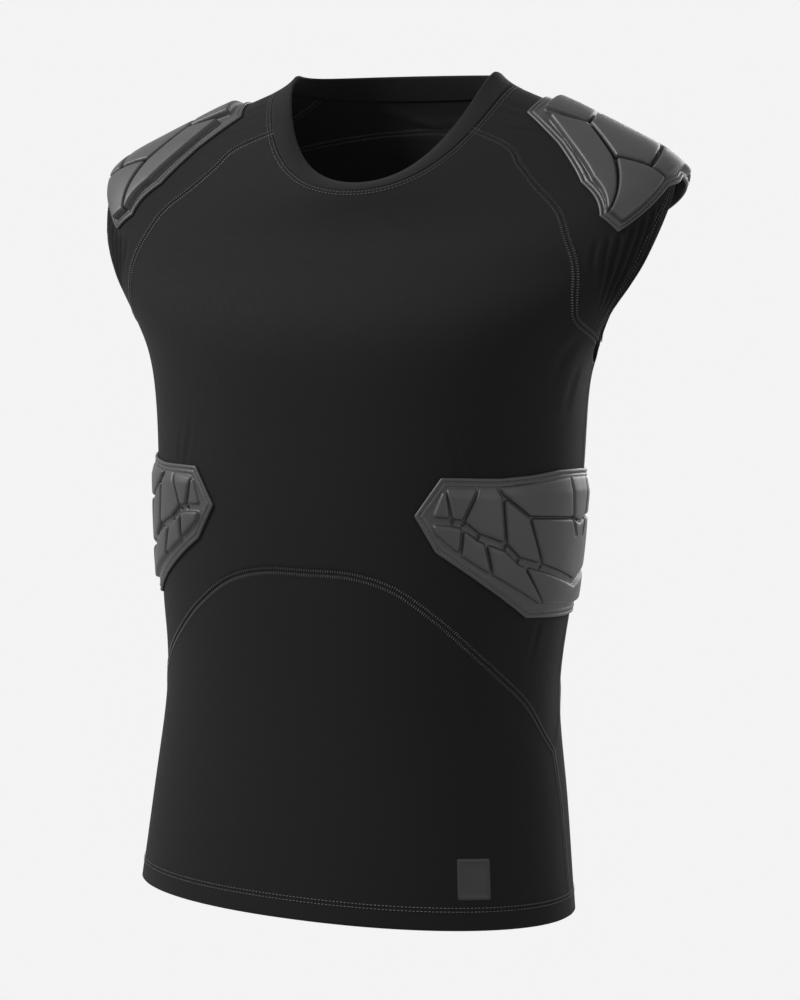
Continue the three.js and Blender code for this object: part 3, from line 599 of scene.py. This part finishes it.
def shell(name, places, material, middle, free=False, closed=False, mirror=False,
          thick=CLOTH, proud=0.0, hem=None, relieved=True, flip=False, puff=0.0):
    """A thin wall of cloth whose first row of places may be a free, rounded edge with a hem."""
    normal = body_normal(places)
    base = body_point(places)
    lift = relief.lift(base) if relieved else np.zeros(places.shape[:-1])
    outer = base + normal * (proud + lift)[..., None]
    depth = np.full(places.shape[:-1], thick, float)
    if hem:
        up = np.linalg.norm(base - base[:1], axis=-1)
        turned_up = 1 / (1 + np.exp((up - hem["turn"]) / 0.4))
        depth += (hem["thick"] - thick) * turned_up
        outer += normal * (0.25 * turned_up)[..., None]
    swell = puff * np.sin(np.linspace(0, math.pi, len(places)))[:, None, None] * normal
    outer, inner = outer + swell, outer - normal * depth[..., None] - swell
    edge = (outer[0] + inner[0]) / 2
    if free:
        away = unit(base[0] - base[1])
        edge = edge + away * depth[0][:, None] * 0.5
    points = np.concatenate([inner[::-1], edge[None], outer])
    rows, columns = points.shape[:2]
    grid = cloth_grid(places, middle)
    uv = np.concatenate([grid[::-1], grid[:1], grid])
    faces = [grid_faces(rows, columns, closed=closed, flip=flip)]
    across = np.arange(columns if closed else columns - 1)
    after = (across + 1) % columns
    last = (rows - 1) * columns
    faces.append(np.stack([last + across, last + after, after, across], -1)[:, ::(-1 if flip else 1)])
    faces = [face for group in faces for face in group]
    if not closed:
        for column, direction in ((0, -1), (columns - 1, 1)):
            turn = direction * (-1 if flip else 1)
            for k in range(rows // 2):
                low, high = k * columns + column, (k + 1) * columns + column
                far_low = (rows - 1 - k) * columns + column
                far_high = (rows - 2 - k) * columns + column
                ring = [low, far_low, far_high, high]
                ring = ring if high != far_high else ring[:3]
                faces.append(ring[::turn])
    flat_points = points.reshape(-1, 3)
    if mirror:
        flat_points = mirrored(flat_points)
        faces = [face[::-1] for face in faces]
    return mesh_piece(name, flat_points, faces, material, uv=uv.reshape(-1, 2))


# Threads
class Stitches:
    """Gathers short threads, each a grain that is thickest in its middle, into one mesh."""

    SIDES = 3

    def __init__(self, radius):
        self.radius = radius
        self.rows = []

    def add(self, start, end, normal):
        """Threads between points in millimetres, lying on a surface with those normals."""
        along = unit(end - start)
        side = unit(np.cross(along, normal))
        up = np.cross(side, along)
        rings = []
        for share in (0.25, 0.75):
            middle = start + (end - start) * share
            for k in range(self.SIDES):
                turn = 2 * math.pi * k / self.SIDES + math.pi / 2
                offset = side * math.cos(turn) + up * (math.sin(turn) + 0.3)
                rings.append(middle + offset * self.radius)
        self.rows.append(np.stack([start, *rings, end], 1))

    def piece(self, name, material):
        points = np.concatenate(self.rows)
        each = points.shape[1]
        n = self.SIDES
        faces = []
        for k in range(n):
            m = (k + 1) % n
            faces.append([0, 1 + m, 1 + k])
            faces.append([1 + k, 1 + m, 1 + n + m])
            faces.append([1 + k, 1 + n + m, 1 + n + k])
            faces.append([1 + n + k, 1 + n + m, each - 1])
        faces = np.array(faces)
        starts = np.arange(len(points))[:, None, None] * each
        return mesh_piece(name, points.reshape(-1, 3), (faces + starts).reshape(-1, 3), material)


def surface_frame(places_line, step, inside=False):
    """Points about step apart along places on the body, with directions, normals and sideways."""
    fine = body_point(places_line)
    run = np.concatenate([[0], np.cumsum(np.linalg.norm(np.diff(fine, axis=0), axis=1))])
    at = np.linspace(0, run[-1], max(2, int(run[-1] / step)) + 1)
    places = np.stack([np.interp(at, run, places_line[:, k]) for k in (0, 1)], -1)
    points, normals = body_point(places), body_normal(places)
    along = unit(np.gradient(points, axis=0))
    side = unit(np.cross(normals, along))
    if inside:
        normals = -normals
    return points, along, side, normals


FLATLOCK = {"pitch": 2.0, "inner": 0.8, "outer": 3.3, "slant": 0.45, "lift": 0.42}


def flatlock(stitches, places_line, inside=0.0, mirror=False):
    """Two combs of short bars, one on each side of a seam."""
    points, along, side, normals = surface_frame(places_line, FLATLOCK["pitch"], inside > 0)
    lift = FLATLOCK["lift"] if inside == 0 else inside
    base = points + normals * lift
    for way in (1, -1):
        start = base + side * way * FLATLOCK["inner"] - along * FLATLOCK["slant"] / 2
        end = base + side * way * FLATLOCK["outer"] + along * FLATLOCK["slant"] / 2
        end = end - normals * 0.12
        parts = (start, end, normals)
        stitches.add(*(map(mirrored, parts) if mirror else parts))


def stitch_row(stitches, places_line, offset=0.0, length=2.3, gap=0.7, lift=0.2, inside=False, mirror=False):
    """One row of straight stitches beside a line of places."""
    points, along, side, normals = surface_frame(places_line, length + gap, inside)
    centre = points + side * offset + normals * lift
    parts = (centre - along * length / 2, centre + along * length / 2, normals)
    stitches.add(*(map(mirrored, parts) if mirror else parts))


# Pads, drawn flat as in the part's source
PAD_MIDDLE = 90
PAD_FLANGE = 1.7
PAD_SEAT = 0.6
SHOULDER_PAD = {
    "drawn_at": 11.4, "height": 7.7, "sloped": {},
    "outline": [
        (PAD_MIDDLE, 13.35), (70, 13.35), (63, 12.6), (54, 11.7), (52, 10.6), (57, 10),
        (76, 10.7), (84, 10.72), (PAD_MIDDLE, 10.85),
    ],
    "corners": {
        "neckMiddle": (PAD_MIDDLE, 13.2), "neckFront": (74, 13.17), "neckFork": (71.5, 13.05),
        "upperMiddle": (PAD_MIDDLE, 12.6), "upperFork": (76.6, 12.52), "rimHigh": (64.2, 12.5),
        "rimLow": (56, 11.6), "lowerMiddle": (PAD_MIDDLE, 11.56), "lowerFork": (66.8, 11.78),
        "outerFork": (71.9, 11.22), "rimEnd": (54, 10.6), "tip": (57.4, 10.2),
        "edgeFork": (74.5, 10.86), "edgeMiddle": (PAD_MIDDLE, 11),
    },
    "cells": {
        "neck": ["neckMiddle", "neckFront", "upperFork", "upperMiddle"],
        "crown": ["upperMiddle", "upperFork", "lowerFork", "outerFork", "lowerMiddle"],
        "edge": ["lowerMiddle", "outerFork", "edgeFork", "edgeMiddle"],
        "front": ["neckFork", "rimHigh", "rimLow", "rimEnd", "lowerFork", "upperFork"],
        "tip": ["lowerFork", "rimEnd", "tip", "edgeFork", "outerFork"],
    },
    "holes": [], "notches": [],
}
SIDE_CHANNEL = 0.03
CHANNEL = {
    "start": (31.6, 4.99), "first": (36.9, 4.98), "second": (39.8, 4.96), "third": (43.9, 4.83),
    "notch": (46, 4.8), "fourth": (52.2, 4.72), "fifth": (56.7, 4.57), "fork": (59, 4.54),
    "sixth": (66.1, 4.49), "middle": (PAD_MIDDLE, 4.29),
}
CHANNEL_SIDES = {
    f"{name}{word}": (angle, level + shift)
    for name, (angle, level) in CHANNEL.items()
    for word, shift in (("Above", SIDE_CHANNEL), ("Below", -SIDE_CHANNEL))
}
SIDE_PAD = {
    "drawn_at": 4.7, "height": 5.0,
    # cells whose upper part slopes down to the pad's top edge: how far down the slope reaches (mm)
    "sloped": {"topThird": 13.0, "topSecond": 9.0, "topFourth": 12.0, "topFirst": 8.0},
    "outline": [
        (PAD_MIDDLE, 5.57), (73, 5.56), (60, 5.5), (49.5, 5.46), (33.8, 5.45), (27.5, 5.03),
        (33.2, 4.64), (62.2, 3.92), (PAD_MIDDLE, 3.9),
    ],
    "corners": {
        **CHANNEL_SIDES,
        "topCorner": (34.8, 5.34), "topFirst": (43.7, 5.37), "topSecond": (48.6, 5.38),
        "topBend": (62, 5.43), "topThird": (80.4, 5.49), "topMiddle": (PAD_MIDDLE, 5.49),
        "fork": (50.3, 5.28), "bend": (59.5, 5.05), "crossing": (83.1, 5.03),
        "waist": (PAD_MIDDLE, 4.98), "footCorner": (32.8, 4.84), "footFirst": (39.5, 4.61),
        "footSecond": (48.6, 4.4), "footThird": (68, 4.07), "footMiddle": (PAD_MIDDLE, 4.03),
    },
    "cells": {
        "tipAbove": ["startAbove", "firstAbove", "topCorner"],
        "topFirst": ["firstAbove", "secondAbove", "topFirst", "topCorner"],
        "topSecond": ["secondAbove", "thirdAbove", "fourthAbove", "fork", "topSecond", "topFirst"],
        "slit": ["fourthAbove", "fifthAbove", "sixthAbove", "bend", "fork"],
        "topThird": ["bend", "crossing", "topThird", "topBend", "topSecond", "fork"],
        "topFourth": ["topMiddle", "topThird", "crossing", "waist"],
        "centre": ["waist", "crossing", "bend", "sixthAbove", "middleAbove"],
        "tipBelow": ["startBelow", "footCorner", "footFirst", "secondBelow", "firstBelow"],
        "footFirst": ["secondBelow", "footFirst", "footSecond", "notchBelow", "thirdBelow"],
        "footSecond": [
            "notchBelow", "footSecond", "footThird", "forkBelow", "fifthBelow", "fourthBelow",
        ],
        "footThird": ["middleBelow", "sixthBelow", "forkBelow", "footThird", "footMiddle"],
    },
    "holes": [(36.9, 4.98), (39.8, 4.96), (43.9, 4.82), (52.2, 4.72), (56.7, 4.56), (66.1, 4.49)],
    "notches": [((83.1, 5.01), (86.3, 4.83))],
}
# How a cell rises from its groove: distance in from the groove's middle (mm), share of its height
CELL_RISE = [(0.55, 0.0), (0.8, 0.32), (1.25, 0.64), (1.9, 0.88), (2.7, 0.975), (3.9, 1.0)]
# The border's section: distance in from the pad's edge (mm), height over the flange
BORDER = [
    (0.0, -0.75), (0.35, -0.2), (0.9, 0.1), (1.5, 0.3), (2.1, 0.1), (2.7, -0.35), (3.2, -0.6),
    (3.7, -0.35), (4.3, 0.1), (5.2, 0.45), (6.0, 0.2), (6.6, -0.2),
]
PAD_STITCH = {"inset": 3.2, "length": 1.9, "gap": 0.9, "radius": 0.32}
PAD_GRID = 1.8
UNDERSIDE_GRID = 12
UNDERSIDE = -0.35
FULL_RADIUS = 8
CORNER_ROUND = 2.2
# A sloped cell's height at its top edge, as a share of its full height
TOP_EDGE = 0.15
CROWN = {"height": 0.35, "reach": 9.0}
HOLE = {"radius": 1.35, "depth": 3.4}


def area_of(loop):
    x, y = loop[:, 0], loop[:, 1]
    return float((x * np.roll(y, -1) - y * np.roll(x, -1)).sum() / 2)


def anticlockwise(loop):
    return loop if area_of(loop) > 0 else loop[::-1]


def offset_loop(loop, distance, arc_steps=4):
    """The loop moved out by a distance, with round corners, or in by a negative one, with sharp
    ones. The loop runs anticlockwise."""
    before = unit(loop - np.roll(loop, 1, 0))
    after = unit(np.roll(loop, -1, 0) - loop)
    out_before = np.stack([before[:, 1], -before[:, 0]], -1)
    out_after = np.stack([after[:, 1], -after[:, 0]], -1)
    turn = before[:, 0] * after[:, 1] - before[:, 1] * after[:, 0]
    points = []
    for i, point in enumerate(loop):
        spread = max(1 + float(out_before[i] @ out_after[i]), 0.35)
        if distance > 0 and turn[i] > 0.02:
            start = math.atan2(out_before[i][1], out_before[i][0])
            swing = math.atan2(turn[i], float(before[i] @ after[i]))
            for k in range(arc_steps + 1):
                angle = start + swing * k / arc_steps
                points.append(point + distance * np.array([math.cos(angle), math.sin(angle)]))
        else:
            points.append(point + distance * (out_before[i] + out_after[i]) / spread)
    return np.array(points)


def mean_radius(loop):
    return 2 * area_of(loop) / np.linalg.norm(loop - np.roll(loop, 1, 0), axis=1).sum()


def signed_distance(points, loop):
    """How far points are inside a loop, negative outside."""
    best = np.full(len(points), np.inf)
    inside = np.zeros(len(points), bool)
    for a, b in zip(loop, np.roll(loop, -1, 0)):
        edge = b - a
        t = np.clip(((points - a) @ edge) / max(edge @ edge, 1e-9), 0, 1)
        best = np.minimum(best, np.linalg.norm(points - a - t[:, None] * edge, axis=1))
        crosses = (a[1] > points[:, 1]) != (b[1] > points[:, 1])
        if a[1] != b[1]:
            x = a[0] + (points[:, 1] - a[1]) / (b[1] - a[1]) * edge[0]
            inside ^= crosses & (points[:, 0] < x)
    return np.where(inside, best, -best)


class Cell:
    """One foam cell of a pad: a core loop that its rounded form grows from."""

    def __init__(self, loop, rise, slope):
        self.round = min(CORNER_ROUND, 0.4 * mean_radius(loop))
        foot = CELL_RISE[0][0]
        self.core = offset_loop(loop, -(foot + self.round))
        radius = mean_radius(offset_loop(loop, -foot))
        self.rise = rise * min(1, radius / FULL_RADIUS)
        self.reach = min(1, 0.9 * radius / CELL_RISE[-1][0])
        self.slope = slope
        self.top = loop[:, 1].max()

    def rings(self):
        """Loops at the steps of the rise."""
        foot = CELL_RISE[0][0]
        for inset, _ in CELL_RISE:
            step = (inset - foot) * self.reach
            yield offset_loop(self.core, self.round - step)

    def height(self, points):
        """How high the cell stands at the points, and where it stands at all."""
        foot = CELL_RISE[0][0]
        inset = signed_distance(points, self.core) + self.round
        steps, shares = zip(*CELL_RISE)
        steps = [(step - foot) * self.reach for step in steps]
        share = np.interp(inset, steps, shares)
        crown = CROWN["height"] * (1 - np.exp(-np.maximum(inset, 0) / CROWN["reach"]))
        body = self.rise * share + crown * share
        if self.slope:
            down = np.clip((self.top - points[:, 1]) / self.slope, 0, 1)
            body *= TOP_EDGE + (1 - TOP_EDGE) * down
        return body, inset > -0.01


def rounded(loop, radius):
    return offset_loop(offset_loop(loop, -radius), radius, arc_steps=5)


def resampled(loop, step):
    """A closed loop with extra points so that no side is longer than step."""
    points = []
    for a, b in zip(loop, np.roll(loop, -1, 0)):
        count = max(1, math.ceil(np.linalg.norm(b - a) / step))
        points += [a + (b - a) * k / count for k in range(count)]
    return np.array(points)


def triangulated(loops, spare_points):
    """Triangles over loops and points, all kept as given, inside the first loop."""
    coordinates, edges = [], []
    for loop in loops:
        start = len(coordinates)
        coordinates += [tuple(map(float, point)) for point in loop]
        edges += [(start + i, start + (i + 1) % len(loop)) for i in range(len(loop))]
    coordinates += [tuple(map(float, point)) for point in spare_points]
    vectors = [Vector(point) for point in coordinates]
    points, _, faces, *_ = delaunay_2d_cdt(vectors, edges, [], 0, 1e-4)
    points = np.array([tuple(point) for point in points])
    faces = np.array([face for face in faces if len(face) == 3])
    middles = points[faces].mean(1)
    faces = faces[signed_distance(middles, loops[0]) > 0]
    corners = points[faces]
    one, two = corners[:, 1] - corners[:, 0], corners[:, 2] - corners[:, 0]
    clockwise = one[:, 0] * two[:, 1] - one[:, 1] * two[:, 0] < 0
    faces[clockwise] = faces[clockwise][:, ::-1]
    return points, faces


def grid_inside(loop, step, clear_of, margin):
    low, high = loop.min(0), loop.max(0)
    rows = np.arange(low[1], high[1], step * math.sqrt(3) / 2)
    points = np.concatenate([
        np.stack([np.arange(low[0] + (k % 2) * step / 2, high[0], step), np.full_like(
            np.arange(low[0] + (k % 2) * step / 2, high[0], step), y)], -1)
        for k, y in enumerate(rows)
    ])
    points = points[signed_distance(points, loop) > margin]
    tree = KDTree(len(clear_of))
    for i, point in enumerate(clear_of):
        tree.insert((*point, 0), i)
    tree.balance()
    clear = [tree.find((*point, 0))[2] > margin for point in points]
    return points[np.array(clear)]


def moulded(name, material, loops, height, lifted, grid, mirror=False):
    """A closed piece over the body from loops drawn flat, its outline first, with a height at each
    point and a plain underside."""
    outline = loops[0]
    spare = grid_inside(outline, grid, np.concatenate(loops), grid * 0.45)
    flat, faces = triangulated(loops, spare)
    top = lifted(flat, height(flat))
    spare = grid_inside(outline, UNDERSIDE_GRID, outline, 3)
    below, below_faces = triangulated([outline], spare)
    bottom = lifted(below, np.full(len(below), UNDERSIDE))
    rim_top = nearest_index(flat, outline)
    rim_bottom = nearest_index(below, outline) + len(top)
    after = np.roll(np.arange(len(outline)), -1)
    side = [[rim_bottom[i], rim_bottom[j], rim_top[j], rim_top[i]] for i, j in enumerate(after)]
    points = np.concatenate([top, bottom])
    all_faces = [*faces.tolist(), *(below_faces[:, ::-1] + len(top)).tolist(), *side]
    if mirror:
        points = mirrored(points)
        all_faces = [face[::-1] for face in all_faces]
    return mesh_piece(name, points, all_faces, material)


class Pad:
    """A moulded pad over the body: flange, stitched border and foam cells with grooves between. It
    is drawn flat by its distances round the body at one level and up the body's side."""

    ANGLES = np.linspace(0, 180, 361)

    def __init__(self, spec):
        self.spec = spec
        level = spec["drawn_at"]
        line = body_point(np.stack([self.ANGLES, np.full_like(self.ANGLES, level)], -1))
        steps = np.linalg.norm(np.diff(line, axis=0), axis=1)
        self.reaches = np.concatenate([[0], np.cumsum(steps)])
        outline = self.whole(np.array(spec["outline"], float))
        self.outline = resampled(rounded(anticlockwise(self.drawn(outline)), 2.0), 4)
        rise = spec["height"] - PAD_FLANGE
        self.cells = []
        for name, corners in spec["cells"].items():
            half = np.array([spec["corners"][corner] for corner in corners], float)
            slope = spec["sloped"].get(name)
            crosses = half[0, 0] == PAD_MIDDLE
            loops = [self.whole(half)] if crosses else [half, self.over(half)]
            for loop in loops:
                flat = anticlockwise(without_flat_corners(self.drawn(loop)))
                self.cells.append(Cell(flat, rise, slope))
        holes = np.array(spec["holes"], float).reshape(-1, 2)
        self.holes = self.drawn(np.concatenate([holes, self.over(holes)]))
        self.notches = [
            self.drawn(line) for notch in spec["notches"]
            for line in (np.array(notch), self.over(np.array(notch))[::-1])
        ]

    def drawn(self, places):
        across = np.interp(places[:, 0], self.ANGLES, self.reaches)
        return np.stack([across, np.interp(places[:, 1], HEIGHT_LEVELS, HEIGHTS)], -1)

    def placed(self, points):
        angles = np.interp(points[:, 0], self.reaches, self.ANGLES)
        return np.stack([angles, np.interp(points[:, 1], HEIGHTS, HEIGHT_LEVELS)], -1)

    @staticmethod
    def over(places):
        """The places mirrored about the pad's middle, in the opposite order."""
        return np.stack([2 * PAD_MIDDLE - places[:, 0], places[:, 1]], -1)[::-1]

    def whole(self, half):
        mirror = self.over(half)
        ends = [i for i in (0, len(half) - 1) if half[i, 0] == PAD_MIDDLE]
        keep = mirror[1:] if len(half) - 1 in ends else mirror
        keep = keep[:-1] if 0 in ends else keep
        return np.concatenate([half, keep])

    def height(self, points):
        inset = signed_distance(points, self.outline)
        z = PAD_FLANGE + np.interp(inset, *zip(*BORDER))
        for cell in self.cells:
            body, there = cell.height(points)
            z = np.where(there, PAD_FLANGE + body, z)
        for hole in self.holes:
            away = np.linalg.norm(points - hole, axis=1) / HOLE["radius"]
            z -= HOLE["depth"] * np.clip(1.25 - away, 0, 1) ** 0.5 * (away < 1.25)
        for start, end in self.notches:
            line = end - start
            t = np.clip(((points - start) @ line) / (line @ line), 0, 1)
            away = np.linalg.norm(points - start - t[:, None] * line, axis=1)
            z -= 3.6 * np.exp(-((away / (1.3 * (1 - 0.45 * t))) ** 2))
        return z

    def on_body(self, points, z):
        places = self.placed(points)
        return body_point(places) + body_normal(places) * (z + PAD_SEAT)[:, None]

    def mesh(self, name, material, mirror=False):
        loops = [self.outline]
        loops += [resampled(offset_loop(self.outline, -inset), 4) for inset, _ in BORDER[1:]]
        for cell in self.cells:
            loops += [resampled(ring, 3.0) for ring in cell.rings()]
        turn = np.arange(10) * 2 * math.pi / 10
        circle = np.stack([np.cos(turn), np.sin(turn)], -1) * HOLE["radius"]
        loops += [hole + circle * share for hole in self.holes for share in (0.6, 1.0, 1.3)]
        return moulded(name, material, loops, self.height, self.on_body, PAD_GRID, mirror)

    def stitches(self, name, material, mirror=False):
        line = resampled(offset_loop(self.outline, -PAD_STITCH["inset"]), 2)
        line = np.concatenate([line, line[:1]])
        pitch = PAD_STITCH["length"] + PAD_STITCH["gap"]
        middle = spaced(line, pitch)[:-1]
        along = unit(np.roll(middle, -1, 0) - middle)
        half = along * PAD_STITCH["length"] / 2
        z = self.height(middle) + 0.25
        start, end = self.on_body(middle - half, z), self.on_body(middle + half, z)
        normal = body_normal(self.placed(middle))
        threads = Stitches(PAD_STITCH["radius"])
        parts = (start, end, normal)
        threads.add(*(map(mirrored, parts) if mirror else parts))
        return threads.piece(name, material)


def without_flat_corners(loop):
    before, after = np.roll(loop, 1, 0), np.roll(loop, -1, 0)
    one, two = loop - before, after - loop
    return loop[np.abs(one[:, 0] * two[:, 1] - one[:, 1] * two[:, 0]) > 1e-6]


def nearest_index(points, wanted):
    tree = KDTree(len(points))
    for i, point in enumerate(points):
        tree.insert((*point, 0), i)
    tree.balance()
    return np.array([tree.find((*point, 0))[1] for point in wanted])



# The neckband and the label
def neckband(material):
    """A folded band whose free, rounded edge is its upper one."""
    levels = np.linspace(NECK_EDGE_LEVEL, NECK_SEAM_LEVEL, NECKBAND["rows"] + 1)
    angles = np.linspace(-180, 180, NECKBAND["columns"], endpoint=False)
    places = np.stack(np.meshgrid(angles, levels), -1)
    thick, proud = NECKBAND["thick"], NECKBAND["proud"]
    return shell(
        "cloth_neckband", places, material, 0, free=True, closed=True, thick=thick, proud=proud,
        relieved=False, flip=True, puff=NECKBAND["puff"],
    )


LABEL = {"middle": (45.7, 0.82), "size": (28.0, 34.0), "corner": 2.0, "per_degree": 2.95, "per_level": 54.0}
LABEL_BORDER = [(0.0, -0.3), (0.3, 0.0), (1.5, 0.0), (1.8, 0.22), (2.3, 0.22), (2.6, 0.0)]


def label_patch(material):
    """A blank patch with a plain raised line round it."""
    scale = np.array([LABEL["per_degree"], LABEL["per_level"]])
    half = np.array(LABEL["size"]) / 2
    corners = np.array([(-1, -1), (1, -1), (1, 1), (-1, 1)]) * half
    outline = resampled(rounded(corners, LABEL["corner"]), 3)
    loops = [outline, *(offset_loop(outline, -inset) for inset, _ in LABEL_BORDER[1:])]

    def height(points):
        return np.interp(signed_distance(points, outline), *zip(*LABEL_BORDER))

    def lifted(points, z):
        places = points / scale + LABEL["middle"]
        return body_point(places) + body_normal(places) * (z + 0.4)[:, None]

    return moulded("patch_label", material, loops, height, lifted, 3.0)


# Sewing
THREAD_RADIUS = 0.27
INNER_LIFT = 0.66
HEM_ROWS = (14.2, 17.2)
ARM_ROWS = (7.2, 9.6)
BAND_ROWS = (-1.8, -4.6)
ROW_LIFT = {"hem": 0.5, "plain": 0.12}


def row_in(places, distance):
    """The places at a distance in from a grid's first row, in each column."""
    points = body_point(places)
    steps = np.linalg.norm(np.diff(points, axis=0), axis=-1)
    run = np.concatenate([np.zeros((1, points.shape[1])), np.cumsum(steps, axis=0)])
    columns = range(points.shape[1])
    return np.array([
        [np.interp(distance, run[:, k], places[:, k, axis]) for axis in (0, 1)] for k in columns
    ])


def sew(name, material, *rows):
    """One piece of thread from rows of (function, places, settings)."""
    stitches = Stitches(THREAD_RADIUS)
    for stitch, places, settings in rows:
        stitch(stitches, places, **settings)
    piece = stitches.piece(f"thread_{name}", material)
    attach(piece, "root")


def seam_sewing(material):
    seams = {
        "raglan": [raglan_front, join(raglan_back, raglan_yoke)],
        "side": [high_side, low_side],
        "belly": [both_sides(turned(belly_seam[::-1], 0), 0)],
        "back": [both_sides(join(arch_wrap, arch_back), 360), both_sides(yoke_seam, 360)],
    }
    for name, lines in seams.items():
        sides = (False, True) if name in ("raglan", "side") else (False,)
        for word, inside in (("outer", 0.0), ("inner", INNER_LIFT)):
            rows = [
                (flatlock, places, {"inside": inside, "mirror": mirror})
                for places in lines for mirror in sides
            ]
            sew(f"{name}_{word}", material, *rows)


def edge_sewing(material, panels, sleeve):
    plain, hem = ROW_LIFT["plain"], ROW_LIFT["hem"]
    rows = [
        (stitch_row, row_in(panels[node], distance), {"lift": hem})
        for node in ("front_lower", "back_lower") for distance in HEM_ROWS
    ]
    sew("hem", material, *rows)
    rows = [
        (stitch_row, row_in(sleeve, distance), {"lift": hem, "mirror": mirror})
        for distance in ARM_ROWS for mirror in (False, True)
    ]
    sew("armholes", material, *rows)
    around = neck_seam(0, 360, 720)
    rows = [(stitch_row, around, {"offset": offset, "lift": plain}) for offset in BAND_ROWS]
    sew("neck", material, *rows)


# The shirt
KNIT = knit_material("shirt_knit", 0.004, sheen=0.035)
BAND_KNIT = knit_material("neckband_knit", 0.0045, wale=0.9, course=0.9, sheen=0.045)
FILM = film_material("pad_film", 0.019)
# The seam thread's grey is much lighter than the cloth's as a painted sheen on the thread; its twist
# mottling is the thread's own
THREAD = thread_material("seam_thread", 0.024)
PAD_THREAD = thread_material("pad_thread", 0.016)
PATCH = film_material("label_patch", 0.007, roughness=0.6)

# Flat cuts (width, length) and areas in metres, before the knit was stretched about 4 % each way
# over the body. The middle is the angle of the panel's own centre line
PANELS = {
    "front_upper": {"middle": 0, "flat": (0.76, 0.38), "area": 0.168},
    "front_lower": {"middle": 0, "flat": (0.52, 0.26), "area": 0.096},
    "back_yoke": {"middle": 180, "flat": (0.31, 0.09), "area": 0.0092},
    "back_upper": {"middle": 180, "flat": (0.71, 0.36), "area": 0.147},
    "back_lower": {"middle": 180, "flat": (0.53, 0.26), "area": 0.097},
}
SLEEVE = {"middle": SLEEVE_EDGE["angle"], "flat": (0.61, 0.17), "area": 0.033}


def declare(piece, node):
    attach(piece, "root")
    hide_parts(node)
    return piece


lay_creases()
for points in seam_lines().values():
    relief.seam(points)
relief.ready()

panels, sleeve = panel_places(), sleeve_places()
for node, places in panels.items():
    panel = PANELS[node]
    lower = node.endswith("lower")
    hem = HEM if lower else None
    piece = shell(f"cloth_{node}", places, KNIT, panel["middle"], free=lower, hem=hem)
    declare(piece, node)

for node, mirror in (("sleeve_left", False), ("sleeve_right", True)):
    middle = SLEEVE["middle"]
    piece = shell(f"cloth_{node}", sleeve, KNIT, middle, free=True, hem=ARM_HEM, mirror=mirror)
    declare(piece, node)

band = declare(neckband(BAND_KNIT), "neckband")
declare(label_patch(PATCH), "label")

side_pad, shoulder_pad = Pad(SIDE_PAD), Pad(SHOULDER_PAD)
for word, mirror in (("left", False), ("right", True)):
    for kind, pad in (("side", side_pad), ("shoulder", shoulder_pad)):
        node = f"{kind}_pad_{word}"
        foam = declare(pad.mesh(f"foam_{node}", FILM, mirror), node)
        declare(pad.stitches(f"stitches_{node}", PAD_THREAD, mirror), node)

seam_sewing(THREAD)
edge_sewing(THREAD, panels, sleeve)


# The floor, the light and the camera
STAGE = {"radius": 1.25, "low": -1.15, "grey": 0.5}
WORLD_GREY = 0.9
CAMERA = {
    "azimuth": 21.42, "elevation": 2.87, "roll": 1.97, "distance": 1.8226,
    "aim": (0.0235, 0, -0.3629), "lens": 79.24,
}


def floor():
    turn = np.linspace(0, 2 * math.pi, 96, endpoint=False)
    rim = np.stack([np.cos(turn), np.sin(turn), np.zeros_like(turn)], -1) * STAGE["radius"]
    rim = (rim + [0, 0, STAGE["low"]]) / MM
    nodes = Nodes("floor")
    nodes.set(Base_Color=tone(STAGE["grey"]), Roughness=0.9)
    return mesh_piece("floor", rim, [range(len(turn))], nodes.material, smooth=False)


def area_light(name, place, aim, size, power, tint=(1, 1, 1)):
    data = bpy.data.lights.new(name, "AREA")
    data.shape = "DISK"
    data.size, data.energy, data.color = size, power, tint
    light = bpy.data.objects.new(name, data)
    light.location = place
    light.rotation_euler = (Vector(aim) - Vector(place)).to_track_quat("-Z", "Y").to_euler()
    bpy.context.scene.collection.objects.link(light)


def camera():
    azimuth, elevation, roll = (math.radians(CAMERA[k]) for k in ("azimuth", "elevation", "roll"))
    right = Vector((math.cos(azimuth), math.sin(azimuth), 0))
    back = Vector((
        math.sin(azimuth) * math.cos(elevation), -math.cos(azimuth) * math.cos(elevation),
        math.sin(elevation),
    ))
    up = back.cross(right)
    rolled_right = right * math.cos(roll) + up * math.sin(roll)
    rolled_up = up * math.cos(roll) - right * math.sin(roll)
    data = bpy.data.cameras.new("camera")
    data.lens = CAMERA["lens"]
    data.clip_end = 50
    view = bpy.data.objects.new("camera", data)
    turn = Matrix((rolled_right, rolled_up, back)).transposed().to_4x4()
    view.matrix_world = Matrix.Translation(Vector(CAMERA["aim"]) + back * CAMERA["distance"]) @ turn
    bpy.context.scene.collection.objects.link(view)
    bpy.context.scene.camera = view


floor()
AIM = (0, 0, -0.35)
area_light("key", (-2.2, -1.5, 1.5), AIM, 1.3, 170)
area_light("fill", (2.4, -1.5, 0.3), AIM, 1.8, 20)
area_light("rim", (0.6, 2.2, 0.6), AIM, 1.6, 40)
world = bpy.data.worlds.new("studio")
world.use_nodes = True
world.node_tree.nodes["Background"].inputs["Color"].default_value = tone(WORLD_GREY)
bpy.context.scene.world = world
bpy.context.scene.view_settings.view_transform = "Standard"
camera()
